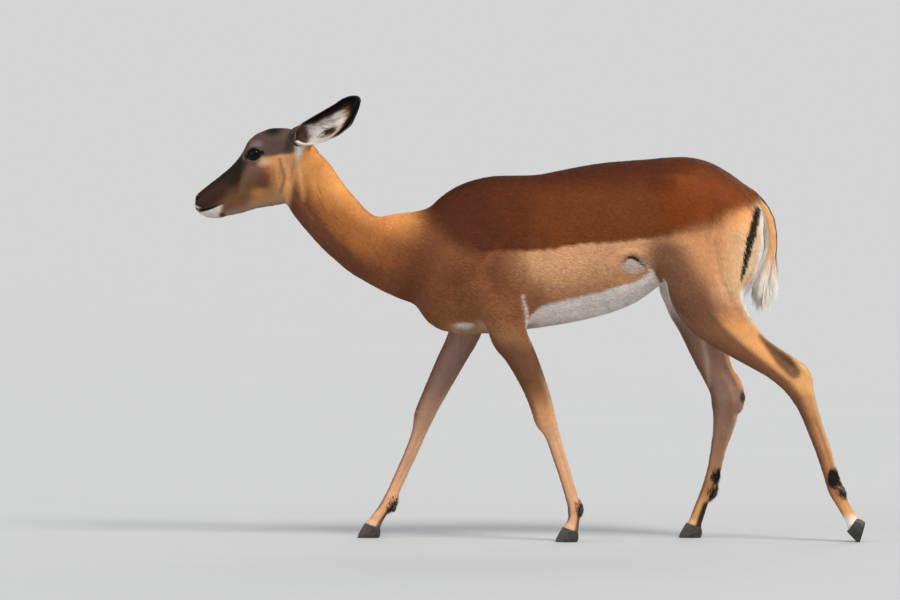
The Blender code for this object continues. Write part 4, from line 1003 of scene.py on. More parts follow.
def lidMask(p):
    # Dark bare rims of the lids, drawn out to both corners.
    mask = np.zeros(len(p))
    for side in (-1, 1):
        rel, r, gap, ahead = eyeField(p, side, 0.8)
        _, gaze, long, up = eyeFrame(side)
        rim = fall(gap, 0.0038, 0.0068)
        for way, run, widths in ((1, long * 0.013 - up * 0.005, [2.8, 0.4]),
                                 (-1, up * 0.002 - long * 0.012, [2.7, 0.4])):
            corner = long * eye["halfLong"] * way + gaze * 0.012
            rim = np.maximum(rim, lineMask(rel, np.array([corner, corner + run]) * 1000, widths, 2))
        mask = np.maximum(mask, rim * (ahead & (r < 0.036)))
    return mask


def bareMask(p):
    return np.maximum(nosePad(p), lidMask(p))


def tangent(v, n):
    return unit(v - n * np.sum(v * n, axis=1)[:, None])


def lieOfCoat(p, n):
    # The lie of the hair: back over the head, down the neck, back and down over the trunk, down the legs.
    x, z = p[:, 0], p[:, 2]
    lie = np.tile(np.array((0.92, 0.0, -0.36)), (len(p), 1))

    def turnTo(mask, way):
        nonlocal lie
        lie = lie * (1 - mask[:, None]) + np.asarray(way) * mask[:, None]

    turnTo(fall(x, -0.36, -0.24), (0.62, 0.0, -0.78))
    turnTo(fall(x, -0.54, -0.50) * ramp(z, 0.74, 0.80), (0.88, 0.0, 0.20))
    turnTo(fall(x, -0.62, -0.56) * fall(z, 0.83, 0.87) * ramp(z, 0.72, 0.75), (0.95, 0.0, -0.10))
    turnTo(ramp(z, 0.88, 0.94) * fall(x, -0.66, -0.62), (0.70, 0.0, 0.60))
    turnTo(ramp(x, 0.30, 0.46) * fall(z, 0.80, 0.88), (0.45, 0.0, -0.90))
    turnTo(fall(z, 0.54, 0.66) * ramp(-np.abs(p[:, 1]), -0.2, -0.02) * ramp(x, -0.2, -0.1)
           * fall(x, 0.2, 0.3), (0.99, 0.0, -0.05))
    hind = limbPlace(p)[0]
    above, below = (limbPlace(p + (0.0, 0.0, step))[2] for step in (0.02, -0.02))
    alongBone = unit(np.stack([above - below, 0 * z, 0 * z - 0.04], axis=1))
    turnTo(fall(z, np.where(hind, 0.50, 0.44), np.where(hind, 0.64, 0.56)), alongBone)
    lie[:, 1] += np.sign(p[:, 1]) * 0.05
    for side in (-1, 1):                   # the hair parts round the eye
        middle, gaze, *_ = eyeFrame(side)
        rel = p - middle
        turnTo(fall(np.linalg.norm(rel, axis=1), 0.016, 0.032) * 0.8, tangent(rel, gaze))
    return tangent(lie, n)


# The coat is many small leaves of hair, each a strip with a ridge along its middle and pointed ends.

def strips(paths, facing, wide, colours):
    # Paths and colours: strip, station, xyz or rgb. Wide: the width at each station between the two ends.
    count, stations = paths.shape[:2]
    points, shades = [paths[:, 0]], [colours[:, 0]]
    for i in range(1, stations - 1):
        across = unit(np.cross(facing, paths[:, i + 1] - paths[:, i - 1]))
        half = wide[:, i - 1, None] / 2
        points += [paths[:, i] - across * half, paths[:, i] + facing * half * 0.40,
                   paths[:, i] + across * half]
        shades += [colours[:, i]] * 3
    points.append(paths[:, -1])
    shades.append(colours[:, -1])
    last = 3 * (stations - 2) + 1
    faces = [(0, 1, 2), (0, 2, 3)]
    for a in range(1, last - 3, 3):
        faces += [(a, a + 3, a + 4), (a, a + 4, a + 1), (a + 1, a + 4, a + 5), (a + 1, a + 5, a + 2)]
    faces += [(last, last - 2, last - 3), (last, last - 1, last - 2)]
    base = (np.arange(count) * (last + 1))[:, None, None]
    points, faces, shades = np.stack(points, axis=1), np.array(faces)[None] + base, np.stack(shades, axis=1)
    return points.reshape(-1, 3), faces.reshape(-1, 3), shades.reshape(-1, 3)


def scatter(tris, weights, count):
    # Random spots on the skin: the triangle of each, and the shares of its corners.
    a, b, c = skinPoints[tris[:, 0]], skinPoints[tris[:, 1]], skinPoints[tris[:, 2]]
    area = np.linalg.norm(np.cross(b - a, c - a), axis=1) / 2 * weights[tris].mean(axis=1)
    total = np.cumsum(area)
    at = (np.arange(count) + rng.random(count)) / count * total[-1]
    face = np.minimum(np.searchsorted(total, at), len(tris) - 1)
    u, v = rng.random(count), rng.random(count)
    flip = u + v > 1
    u, v = np.where(flip, 1 - u, u), np.where(flip, 1 - v, v)
    return tris[face], np.stack([1 - u - v, u, v], axis=1)


def paintPoints(mesh, colours):
    hue = mesh.color_attributes.new("hue", "FLOAT_COLOR", "POINT")
    rgba = np.concatenate([np.clip(colours, 0, 1), np.ones((len(colours), 1))], axis=1)
    hue.data.foreach_set("color", rgba.astype(np.float32).ravel())


def meshPiece(name, points, tris, colours, places=None):
    # A joined mesh with its colours, and for hair a patch 0.003 across for each strip at its root's place.
    mesh = bpy.data.meshes.new(name)
    mesh.vertices.add(len(points))
    mesh.loops.add(tris.size)
    mesh.loops.foreach_set("vertex_index", tris.astype(np.int32).ravel())
    mesh.polygons.add(len(tris))
    mesh.polygons.foreach_set("loop_start", np.arange(0, tris.size, 3, dtype=np.int32))
    mesh.polygons.foreach_set("use_smooth", np.ones(len(tris), bool))
    mesh.vertices.foreach_set("co", (points + shift).astype(np.float32).ravel())
    mesh.update(calc_edges=True)
    paintPoints(mesh, colours)
    if places is not None:
        each = len(points) // len(places)
        spot = np.linspace(-0.0015, 0.0015, each)
        corner = np.stack([np.tile(spot, len(places)), np.tile(np.roll(spot, each // 3), len(places))],
                          axis=1)
        uv = np.repeat(places, each, axis=0) + corner
        layer = mesh.uv_layers.new(name="OFBake")
        layer.data.foreach_set("uv", uv[tris.ravel()].astype(np.float32).ravel())
    return addThing(name, mesh)


# Materials.

def addNode(tree, kind, settings=None, values=None, links=None):
    node = tree.nodes.new("ShaderNode" + kind)
    for name, value in (settings or {}).items():
        setattr(node, name, value)
    for name, value in (values or {}).items():
        node.inputs[name].default_value = value
    for name, socket in (links or {}).items():
        tree.links.new(socket, node.inputs[name])
    return node


def newMaterial(name):
    material = bpy.data.materials.new(name)
    material.use_nodes = True
    material.node_tree.nodes.clear()
    return material, material.node_tree


def hairMaterial():
    # Short grown hair of a game animal, combed flat by its own lie: satin, with a soft shine and no mirror.
    material, tree = newMaterial("short coat hair, grown")
    hue = addNode(tree, "Attribute", {"attribute_name": "hue"})
    spots = addNode(tree, "TexCoord")
    locks = addNode(tree, "TexNoise", values={"Scale": 1 / 0.018, "Detail": 3.0, "Roughness": 0.6},
                    links={"Vector": spots.outputs["Object"]})           # locks about 18 mm across
    shade = addNode(tree, "MapRange",
                    values={"From Min": 0.3, "From Max": 0.7, "To Min": 0.90, "To Max": 1.10},
                    links={"Value": locks.outputs["Fac"]})
    colour = addNode(tree, "Mix", {"data_type": "RGBA", "blend_type": "MULTIPLY"}, {0: 1.0},
                     {6: hue.outputs["Color"], 7: shade.outputs["Result"]})
    hairs = addNode(tree, "TexNoise", values={"Scale": 1 / 0.0006, "Detail": 2.0},
                    links={"Vector": spots.outputs["Object"]})     # single hairs, drawn ten times too thick
    bump = addNode(tree, "Bump", values={"Strength": 0.25, "Distance": 0.0003},
                   links={"Height": hairs.outputs["Fac"]})
    rough = addNode(tree, "MapRange", values={"To Min": 0.46, "To Max": 0.62},
                    links={"Value": hairs.outputs["Fac"]})
    shader = addNode(tree, "BsdfPrincipled", values={"IOR": 1.55, "Specular IOR Level": 0.14},
                     links={"Base Color": colour.outputs[2], "Roughness": rough.outputs["Result"],
                            "Normal": bump.outputs["Normal"]})
    addNode(tree, "OutputMaterial", links={"Surface": shader.outputs["BSDF"]})
    return material


def skinMaterial():
    # Hide under its own flat hair: satin with fine lines along the lie, bare wet leather on nose and lids.
    material, tree = newMaterial("hide with flat hair, grown")
    hue = addNode(tree, "Attribute", {"attribute_name": "hue"})
    strand = addNode(tree, "Attribute", {"attribute_name": "strand"})
    bare = addNode(tree, "Attribute", {"attribute_name": "bare"})
    spots = addNode(tree, "TexCoord")
    stretch = addNode(tree, "Mapping", values={"Scale": (1 / 0.0010, 1 / 0.0090, 1.0)},
                      links={"Vector": strand.outputs["Vector"]})     # hair lines 1 mm apart and 9 mm long
    hairs = addNode(tree, "TexNoise", values={"Scale": 1.0, "Detail": 3.0, "Roughness": 0.65},
                    links={"Vector": stretch.outputs["Vector"]})
    grains = addNode(tree, "TexVoronoi", values={"Scale": 1 / 0.0012},
                     links={"Vector": spots.outputs["Object"]})     # pebbles of the nose leather, 1.2 mm
    height = addNode(tree, "Mix", {"data_type": "FLOAT"},
                     links={0: bare.outputs["Fac"], 2: hairs.outputs["Fac"], 3: grains.outputs["Distance"]})
    bump = addNode(tree, "Bump", values={"Strength": 0.55, "Distance": 0.0004},
                   links={"Height": height.outputs[0]})
    shade = addNode(tree, "MapRange",
                    values={"From Min": 0.3, "From Max": 0.7, "To Min": 0.84, "To Max": 1.02},
                    links={"Value": hairs.outputs["Fac"]})
    colour = addNode(tree, "Mix", {"data_type": "RGBA", "blend_type": "MULTIPLY"}, {0: 1.0},
                     {6: hue.outputs["Color"], 7: shade.outputs["Result"]})
    rough = addNode(tree, "MapRange", values={"To Min": 0.58, "To Max": 0.30},
                    links={"Value": bare.outputs["Fac"]})
    shader = addNode(tree, "BsdfPrincipled", values={"IOR": 1.50, "Specular IOR Level": 0.17},
                     links={"Base Color": colour.outputs[2], "Roughness": rough.outputs["Result"],
                            "Normal": bump.outputs["Normal"]})
    addNode(tree, "OutputMaterial", links={"Surface": shader.outputs["BSDF"]})
    return material


def hornMaterial():
    # Keratin of the hoof, grown in rings and worn by grit: dull satin with fine upright lines.
    material, tree = newMaterial("hoof horn, grown and worn")
    hue = addNode(tree, "Attribute", {"attribute_name": "hue"})
    spots = addNode(tree, "TexCoord")
    upright = addNode(tree, "Mapping", values={"Scale": (1 / 0.0008, 1 / 0.0008, 1 / 0.012)},
                      links={"Vector": spots.outputs["Object"]})          # tubules of the horn, 0.8 mm apart
    fibres = addNode(tree, "TexNoise", values={"Scale": 1.0, "Detail": 3.0},
                     links={"Vector": upright.outputs["Vector"]})
    dirt = addNode(tree, "TexNoise", values={"Scale": 1 / 0.006, "Detail": 4.0},
                   links={"Vector": spots.outputs["Object"]})             # patches of dust, 6 mm
    dust = addNode(tree, "MapRange",
                   values={"From Min": 0.45, "From Max": 0.75, "To Min": 0.0, "To Max": 0.16},
                   links={"Value": dirt.outputs["Fac"]})
    colour = addNode(tree, "Mix", {"data_type": "RGBA"}, {7: (*linear("#8d7a66"), 1.0)},
                     {0: dust.outputs["Result"], 6: hue.outputs["Color"]})
    bump = addNode(tree, "Bump", values={"Strength": 0.5, "Distance": 0.0003},
                   links={"Height": fibres.outputs["Fac"]})
    rough = addNode(tree, "MapRange", values={"To Min": 0.36, "To Max": 0.60},
                    links={"Value": dirt.outputs["Fac"]})
    shader = addNode(tree, "BsdfPrincipled", values={"IOR": 1.54},
                     links={"Base Color": colour.outputs[2], "Roughness": rough.outputs["Result"],
                            "Normal": bump.outputs["Normal"]})
    addNode(tree, "OutputMaterial", links={"Surface": shader.outputs["BSDF"]})
    return material


def eyeMaterial():
    # Living eye, dark umber iris under a clear wet cornea: near black with one sharp highlight.
    material, tree = newMaterial("eyeball, wet")
    hue = addNode(tree, "Attribute", {"attribute_name": "hue"})
    spots = addNode(tree, "TexCoord")
    fibres = addNode(tree, "TexNoise", values={"Scale": 1 / 0.0010, "Detail": 3.0},
                     links={"Vector": spots.outputs["Object"]})           # threads of the iris, 1 mm
    shade = addNode(tree, "MapRange", values={"To Min": 0.6, "To Max": 1.3},
                    links={"Value": fibres.outputs["Fac"]})
    colour = addNode(tree, "Mix", {"data_type": "RGBA", "blend_type": "MULTIPLY"}, {0: 1.0},
                     {6: hue.outputs["Color"], 7: shade.outputs["Result"]})
    shader = addNode(tree, "BsdfPrincipled",
                     values={"IOR": 1.376, "Roughness": 0.10, "Specular IOR Level": 0.05,
                             "Coat Weight": 0.22, "Coat Roughness": 0.02, "Coat IOR": 1.376},
                     links={"Base Color": colour.outputs[2]})
    addNode(tree, "OutputMaterial", links={"Surface": shader.outputs["BSDF"]})
    return material


hair, hide, horn, wetEye = hairMaterial(), skinMaterial(), hornMaterial(), eyeMaterial()


def finishPiece(thing, material, nodes=()):
    thing.data.materials.clear()
    thing.data.materials.append(material)
    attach(thing, "root")
    if nodes:
        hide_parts(*nodes)


# The skin's own colours and hair lines.

def earColour(share, turn, inside):
    colour = plain("earBack", len(share))

    def lay(mask, name):
        nonlocal colour
        colour = laid(colour, mask, name)

    lay(ramp(-turn, 0.0, 0.5) * ramp(share, 0.10, 0.20) * fall(share, 0.35, 0.65) * 0.7, "cheek")
    lay(ramp(-turn, 0.45, 0.75) * ramp(share, 0.03, 0.09) * fall(share, 0.22, 0.40), "chin")
    lay((1 - inside) * ramp(share, 0.50, 0.85), "earRim")
    lay(inside, "earInside")
    speckle = np.sin(share * 95 + 9 * np.sin(turn * 11)) * np.sin(turn * 23 + 7 * np.sin(share * 31))
    lay(inside * ramp(speckle, 0.05, 0.60) * ramp(turn, -0.12, 0.05) * ramp(share, 0.26, 0.33)
        * fall(share, 0.58, 0.66) * 0.85, "earMottle")
    lay(inside * fall(np.hypot((share - 0.435) / 0.150, (turn + 0.29) / 0.27), 0.75, 1.10), "earDark")
    # the white ends here, and tan and then black go on to the tip
    edge = 0.50 + 0.21 * ramp(turn, -1.0, 0.4)
    lay(inside * ramp(share - edge, 0.0, 0.025), "earTan")
    lay(inside * ramp(share - edge, 0.045, 0.085), "earRim")
    lay(inside * ramp(turn, 0.50, 0.66) * ramp(share, 0.02, 0.12), "earBack")
    rootEnd = np.where(turn < -0.6, 0.11, 0.16)
    lay(inside * fall(share - 0.10 * turn, rootEnd, rootEnd + 0.06), "earRoot")
    lay(inside * ramp(turn, 0.70, 0.90) * ramp(share, 0.20, 0.45), "earRim")
    lay(ramp(share, 0.80, 0.86), "earRim")
    lay(inside * ramp(-turn, 0.80, 0.92) * ramp(share, 0.06, 0.11) * fall(share, 0.48, 0.56), "white")
    return colour


def tailColour(p, behind):
    # Behind: 1 where the hair faces the rear.
    z = p[:, 2]
    colour = laid(plain("white", len(p)), behind * ramp(z, 0.600, 0.680), "tailTan")
    return laid(colour, behind * fall(np.abs(p[:, 1]), 0.0080, 0.0130) * ramp(z, 0.595, 0.655), "stripe")


trunkAxis = 0.70      # height of the line that the trunk is unrolled round


def aroundHead(p):
    return np.arctan2(p[:, 1], p[:, 2] - 0.85 - 0.3 * (p[:, 0] + 0.65))


def strandPlace(p):
    # Distance round the body and along the hair, for the lines of the hide.
    x, y, z = p.T
    _, _, behind, out = limbPlace(p)
    leg = z < 0.47
    head = (x < -0.52) & (z > 0.7)
    neck = (x < -0.26) & (z > 0.5) & ~head
    across = np.where(head, aroundHead(p) * 0.045, np.arctan2(y, z - trunkAxis) * 0.12)
    across = np.where(leg, np.arctan2(out, behind) * 0.018, across)
    along = np.where(neck, x * 0.6 - z * 0.8, x * 0.95 - z * 0.25)
    return np.stack([across, np.where(leg, z, along), 0 * x], axis=1)


def paintSkin():
    mesh = skinObject.data
    points = pointsOf(mesh)
    n = pointNormals(skinPoints, skinTris)
    bare = np.zeros(len(points))
    bare[:len(skinPoints)] = bareMask(skinPoints)
    share, turn, inside = earGrid()
    onDock = points[len(skinPoints) + 2 * len(share):]
    middle = np.interp(-onDock[:, 2], -tailRows[:, 1], tailRows[:, 0])
    paintPoints(mesh, np.concatenate([bodyColour(skinPoints, n), *[earColour(share, turn, inside)] * 2,
                                      tailColour(onDock, ramp(onDock[:, 0] - middle, -0.002, 0.004))]))
    addField(mesh, "strand", "FLOAT_VECTOR", "vector", strandPlace(points))
    addField(mesh, "bare", "FLOAT", "value", bare)
    movePoints(mesh, points + shift)
    limbs = [f"{which}_leg_{side}" for which in ("fore", "hind") for side in ("left", "right")]
    finishPiece(skinObject, hide, ["head", "neck", "trunk", "tail", "ear_left", "ear_right", *limbs])
    return n


skinNormals = paintSkin()
report("skin painted")


# The coat over the skin, in pieces by region. Each sheet tells how many leaves, their length, width and stand
# in metres, how much the colour varies, how far off it is picked (metres), and how dark the roots are
# painted, as shade where the leaves lie over each other.

coat = {
    "head": {"count": 42000, "length": 0.0054, "width": 0.00082, "lift": 0.00032,
             "vary": 0.07, "stray": 0.0005, "root": 0.84},
    "neck": {"count": 36000, "length": 0.0110, "width": 0.00145, "lift": 0.00055,
             "vary": 0.06, "stray": 0.0016, "root": 0.80},
    "trunk": {"count": 36000, "length": 0.0115, "width": 0.00150, "lift": 0.00070,
              "vary": 0.08, "stray": 0.0016, "root": 0.78},
    "haunch": {"count": 33000, "length": 0.0115, "width": 0.00145, "lift": 0.00070,
               "vary": 0.07, "stray": 0.0016, "root": 0.80},
    "foreleg": {"count": 32000, "length": 0.0068, "width": 0.00095, "lift": 0.00034,
                "vary": 0.07, "stray": 0.0016, "root": 0.88},
    "hindleg": {"count": 36000, "length": 0.0070, "width": 0.00100, "lift": 0.00034,
                "vary": 0.07, "stray": 0.0016, "root": 0.88},
}


def regionOf(p):
    x, y, z = p.T
    hind = limbPlace(p)[0]
    leg = z < np.where(hind, 0.52, 0.47)
    name = np.select([leg & hind, leg, (x < -0.52) & (z > 0.72), x < -0.23, x < 0.16],
                     ["hindleg", "foreleg", "head", "neck", "trunk"], "haunch")
    return name, np.where(y < 0, "left", "right")


def coatFields(p):
    # How long and how lifted the hair is against the plain value of its region.
    q, x, z = folded(p), p[:, 0], p[:, 2]
    long = 1 - 0.50 * fall(x, -0.76, -0.66)
    long *= 1 + 0.45 * ramp(x, -0.60, -0.54) * (x < -0.5)
    long *= 1 - 0.40 * fall(z, 0.05, 0.25)
    long *= 1 + 0.40 * ramp(x, 0.46, 0.53) * ramp(z, 0.55, 0.60)
    long *= 1 + 0.35 * lineMask(q, [(100, 50, 560), (230, 80, 620), (320, 80, 620)], 20, 20)
    long *= 1 - 0.45 * spotMask(q, (-545, 38, 960), (34, 34, 24), 0.3)
    long *= 1 - 0.45 * fall(np.linalg.norm(q - eye["spot"], axis=1), 0.022, 0.045)
    return long, 1 + 0.8 * ramp(x, 0.49, 0.54) * ramp(z, 0.55, 0.60)


def unwrapPlace(p, name):
    # Place on an unwrap of each region rolled flat: round it, and along it.
    x, y, z = p.T
    _, side, behind, out = limbPlace(p)
    if name in ("foreleg", "hindleg"):
        turn = np.arctan2(out, behind) / (2 * np.pi) + 0.5
        return np.stack([0.02 + 0.46 * turn + 0.5 * (side > 0), 0.02 + 0.96 * z / 0.54], axis=1)
    if name == "head":
        turn = aroundHead(p) / (2 * np.pi) + 0.5
    elif name == "neck":
        turn = np.arctan2(y, (z - 0.76 - 1.1 * (x + 0.42)) * 0.7) / (2 * np.pi) + 0.5
    else:
        turn = np.arctan2(np.abs(y), z - trunkAxis) / np.pi
    start, span = {"head": (-0.79, 0.28), "neck": (-0.56, 0.34), "trunk": (-0.24, 0.41),
                   "haunch": (0.15, 0.44)}[name]
    return np.stack([0.02 + 0.96 * turn, 0.02 + 0.96 * (x - start) / span], axis=1)


def coatCover():
    # 1 where hair grows: not on bare skin, in the sockets or under the hooves.
    cover = np.maximum(1 - bareMask(skinPoints), 0.0)
    for side in (-1, 1):
        cover *= np.linalg.norm(skinPoints - eyeFrame(side)[0], axis=1) > eye["radius"] + 0.0006
    for foot in feet:
        local, over = overCoronet(skinPoints, foot)
        cover *= ~((over < 0.0006) & (np.abs(local).max(axis=1) < 0.04))
    return cover


def leafPaths(roots, n, along, length, lift):
    # A leaf leaves the skin at a low angle, and its tip comes back to the coat.
    reach, lift = along * length[:, None], n * lift[:, None]
    return np.stack([roots - n * 0.0005, roots + reach * 0.42 + lift, roots + reach + lift * 0.9], axis=1)


def growLeaves(piece, region, tris, cover):
    sheet = coat[region]
    corners, weight = scatter(tris, cover, sheet["count"] // thinning)
    good = cover[corners].min(axis=1) > 0.5
    corners, weight = corners[good], weight[good][:, :, None]
    roots = (skinPoints[corners] * weight).sum(axis=1)
    n = unit((skinNormals[corners] * weight).sum(axis=1))
    count = len(roots)
    long, stand = coatFields(roots)
    length = sheet["length"] * long * rng.uniform(0.72, 1.22, count)
    lie = lieOfCoat(roots, n)
    swirl = (wobble(roots, 0.10, 11) * 0.14 + rng.normal(0, 0.10, count))[:, None]
    lie = lie * np.cos(swirl) + np.cross(n, lie) * np.sin(swirl)
    paths = leafPaths(roots, n, lie, length, sheet["lift"] * stand * rng.uniform(0.6, 1.4, count))
    colour = bodyColour(roots + lie * rng.normal(0, sheet["stray"], (count, 1)), n)
    colour = colour * (1 + rng.normal(0, sheet["vary"], (count, 1)))
    colour = colour * (1 + rng.normal(0, 0.015, (count, 3)))
    facing = unit(n + np.cross(n, lie) * rng.normal(0, 0.22, (count, 1)))
    wide = (sheet["width"] * (0.6 + 0.4 * long) * rng.uniform(0.8, 1.2, count))[:, None]
    # roots darker than the rest of each leaf: painted shade; tips a little lighter
    shades = np.stack([colour * sheet["root"], colour * 0.97, colour * 1.08], axis=1)
    leaves = meshPiece(piece, *strips(paths, facing, wide, shades), unwrapPlace(roots, region))
    finishPiece(leaves, hair)
    report(f"{piece}, {count} leaves")


def growCoat():
    names, sides = regionOf(skinPoints[skinTris].mean(axis=1))
    cover = coatCover()
    for region in coat:
        own = names == region
        if region in ("trunk", "haunch"):
            for side in ("left", "right"):
                growLeaves(f"coat_{region}_{side}", region, skinTris[own & (sides == side)], cover)
        else:
            growLeaves(f"coat_{region}", region, skinTris[own], cover)


growCoat()


# Eyes, lids and lashes.

lid = {"rings": 120, "sides": 10, "proud": 0.0006, "thick": 0.00095}     # proud: over the ball
lash = {"count": 110, "proud": 0.0014, "shortest": 0.0060, "longest": 0.0105, "colour": "#17110e"}
hairSteps = (0.0, 0.35, 0.7, 1.0)      # stations of a long hair


def eyeShape(side):
    # A ball with the cornea standing a little proud. The pupil of an antelope is a level oval.
    middle, gaze, long, up = eyeFrame(side)
    shape = bmesh.new()
    bmesh.ops.create_uvsphere(shape, u_segments=96, v_segments=64, radius=1.0)
    bmesh.ops.triangulate(shape, faces=shape.faces[:])
    mesh = pour(shape)
    ball, tris = pointsOf(mesh), trisOf(mesh)
    bpy.data.meshes.remove(mesh)
    axes, front = np.stack([long, up, gaze]), ball[:, 2]
    if np.linalg.det(axes) < 0:
        tris = tris[:, ::-1]
    points = middle + ball @ axes * (eye["radius"] * (1 + 0.022 * ramp(front, 0.55, 0.95)))[:, None]
    colour = laid(plain("#070404", len(ball)), ramp(front, 0.66, 0.72), "#0f0704")
    pupil = fall(np.hypot(ball[:, 0] / 0.52, ball[:, 1] / 0.30), 0.85, 1.05) * (front > 0)
    return points, tris, laid(colour, pupil, "#030203")


def overEye(side, u, height, proud):
    # Spots over the ball: u along the line through the corners, and the height over that line.
    middle, gaze, long, up = eyeFrame(side)
    flat = long * (u * eye["halfLong"])[:, None] + up * height[:, None]
    reach = eye["radius"] + proud
    deep = np.sqrt(np.maximum(reach ** 2 - (flat ** 2).sum(axis=1), (reach * 0.30) ** 2))
    return middle + flat + gaze * deep[:, None]


def lidRim(side):
    # The bare wet edge of the lids, a round bead that follows the opening and runs out at both corners.
    turns = np.linspace(0, 2 * np.pi, lid["rings"], endpoint=False)
    u = np.cos(turns)
    upper, lower = lidEdge(u * 0.9995)
    centre = overEye(side, u, np.where(np.sin(turns) >= 0, upper, lower), lid["proud"])
    outward = unit(centre - eyeFrame(side)[0])
    sideways = np.cross(unit(np.roll(centre, -1, axis=0) - np.roll(centre, 1, axis=0)), outward)
    thick = (lid["thick"] * (1 - 0.35 * np.abs(u) ** 6))[:, None]
    rings = [centre + (outward * np.cos(a) + sideways * np.sin(a)) * thick
             for a in np.linspace(0, 2 * np.pi, lid["sides"], endpoint=False)]
    count = lid["rings"] * lid["sides"]
    i, k = np.divmod(np.arange(count), lid["sides"])
    a, b = i * lid["sides"] + k, i * lid["sides"] + (k + 1) % lid["sides"]
    c, d = (b + lid["sides"]) % count, (a + lid["sides"]) % count
    points = np.stack(rings, axis=1).reshape(-1, 3)
    return points, np.stack([a, b, c, a, c, d], axis=1).reshape(-1, 3), plain("lid", count)


def lashes(side):
    _, gaze, long, up = eyeFrame(side)
    count = lash["count"]
    u = rng.uniform(-0.92, 0.75, count)
    roots, u = overEye(side, u, lidEdge(u)[0], lash["proud"]), u[:, None]
    length = rng.uniform(lash["shortest"], lash["longest"], (count, 1)) * (1 - 0.35 * np.abs(u))
    out = gaze * 0.8 - long * (0.35 - 0.5 * u) + up * 0.10 + rng.normal(0, 0.10, (count, 3))
    paths = [roots + (out * t + up * (0.30 * t * t - 0.16 * t)) * length for t in hairSteps]
    wide = np.tile([0.00030, 0.00022], (count, 1))
    colour = np.tile(linear(lash["colour"]), (count, len(hairSteps), 1))
    return strips(np.stack(paths, axis=1), np.tile(up, (count, 1)), wide, colour), roots


def makeEyes():
    for side in (-1, 1):
        name = sideName[side]
        finishPiece(meshPiece(f"eyeball_{name}", *eyeShape(side)), wetEye, [f"eye_{name}"])
        points, tris, colour = lidRim(side)
        rim = meshPiece(f"lid_rim_{name}", points, tris, colour)
        addField(rim.data, "bare", "FLOAT", "value", np.ones(len(points)))
        finishPiece(rim, hide)
        hairs, roots = lashes(side)
        places = 0.5 + (roots[:, ::2] - (-0.64, 0.90)) * 10
        finishPiece(meshPiece(f"lashes_{name}", *hairs, places), hair)


makeEyes()
report("eyes set")


# Hooves and dewclaws.

claw = {
    "rows": 26,
    "sides": 48,
    # Share of the height, shares of the hoof's length and width, and x of the middle in millimetres.
    "profile": [(0.0, 0, 0, 0.93, 0.97, -12.8), (0.12, 0, 0, 0.96, 0.99, -11.0),
                (0.55, 0, 0, 0.85, 0.95, -6.0), (1.0, 0, 0, 0.66, 0.90, -2.4)],
    "growthRings": 7,
    "dark": "#0f0c0b",
    "pale": "#3f342c",
}
dewclaw = {
    "sides": 20,
    "apart": 0.0095,         # from the middle of the leg
    "colour": "#1d1714",
    # Height and radius in millimetres, from the root to the tip.
    "profile": ((8.0, 2.8), (6.5, 4.0), (3.5, 5.1), (0.5, 5.5), (-3.0, 5.3), (-6.5, 4.2), (-8.7, 2.7),
                (-9.5, 1.4)),
    # x, z of the middle, and tilt of the point in degrees.
    "spots": {("fore", -1): (0.1208, 0.0720, 14), ("fore", 1): (-0.3168, 0.0700, 12),
              ("hind", -1): (0.7314, 0.1172, -35), ("hind", 1): (0.4372, 0.1020, 18)},
}


def clawPoints(foot, inner):
    outward = -foot[1] if inner else foot[1]
    a = 2 * np.pi * np.arange(claw["sides"]) / claw["sides"]
    x = -np.cos(a)
    taper = 0.5 + 0.5 * np.minimum(1.0, (x + 1.0) / 0.9)
    across = np.abs(np.sin(a)) ** 0.85 * taper * np.sign(np.sin(a))
    loops, hues = [], []
    for share, _, _, length, width, middle in evenCurve(claw["profile"], claw["rows"]):
        wave = 0.5 + 0.5 * math.cos(share * 2 * np.pi * claw["growthRings"])
        ringing = 1 - 0.010 * wave * (share > 0.05)
        reach = width * ringing * hoof["width"] * (0.5 + np.where(across > 0, 0.5, 0.44) * across)
        spread = hoof["split"] / 2 + 0.0016 * (1 - share) * (1 - x) / 2
        px = middle / 1000 + x * length * ringing * hoof["length"] / 2
        top = -math.tan(hoof["slope"]) * px - hoof["clearance"]
        pz = -hoof["height"] + share * (top + hoof["height"])
        loops.append(placed(np.stack([px, outward * (spread + reach), pz], axis=1), footFrame(foot)))
        hues.append(laid(plain(claw["dark"], len(a)), np.full(len(a), 0.25 * wave + 0.30 * share),
                         claw["pale"]))
    return loops, hues


def dewclawPoints(foot, inner):
    x, z, tilt = dewclaw["spots"][foot]
    y = feet[foot][3] * foot[1] + (dewclaw["apart"] if inner == (foot[1] < 0) else -dewclaw["apart"])
    place = Matrix.Translation((x, y, z)) @ Matrix.Rotation(math.radians(tilt), 4, "Y")
    a = 2 * np.pi * np.arange(dewclaw["sides"]) / dewclaw["sides"]
    loops = []
    for height, radius in dewclaw["profile"]:
        ring = np.stack([radius * np.cos(a), radius * 0.9 * np.sin(a), 0 * a + height], axis=1) / 1000
        loops.append(placed(ring, place))
    return loops, [plain(dewclaw["colour"], len(a))] * len(loops)


def makeHooves():
    for foot in feet:
        shape, hues = bmesh.new(), []
        for inner in (False, True):
            for loops, tones in (clawPoints(foot, inner), dewclawPoints(foot, inner)):
                addTube(shape, loops)
                hues += tones
        for v in shape.verts:
            v.co.z = max(v.co.z, 0.0)                 # worn level where the claw meets the ground
        bmesh.ops.triangulate(shape, faces=shape.faces[:])
        mesh = pour(shape)
        name = f"{foot[0]}_{sideName[foot[1]]}"
        piece = meshPiece(f"hooves_{name}", pointsOf(mesh), trisOf(mesh), np.concatenate(hues))
        bpy.data.meshes.remove(mesh)
        solids = [f"{part}_{name}_{where}" for part in ("hoof", "dewclaw") for where in ("inner", "outer")]
        finishPiece(piece, horn, solids)


makeHooves()
report("hooves set")


# Long hair: the tail, the dark tufts of the legs and both faces of the ears.

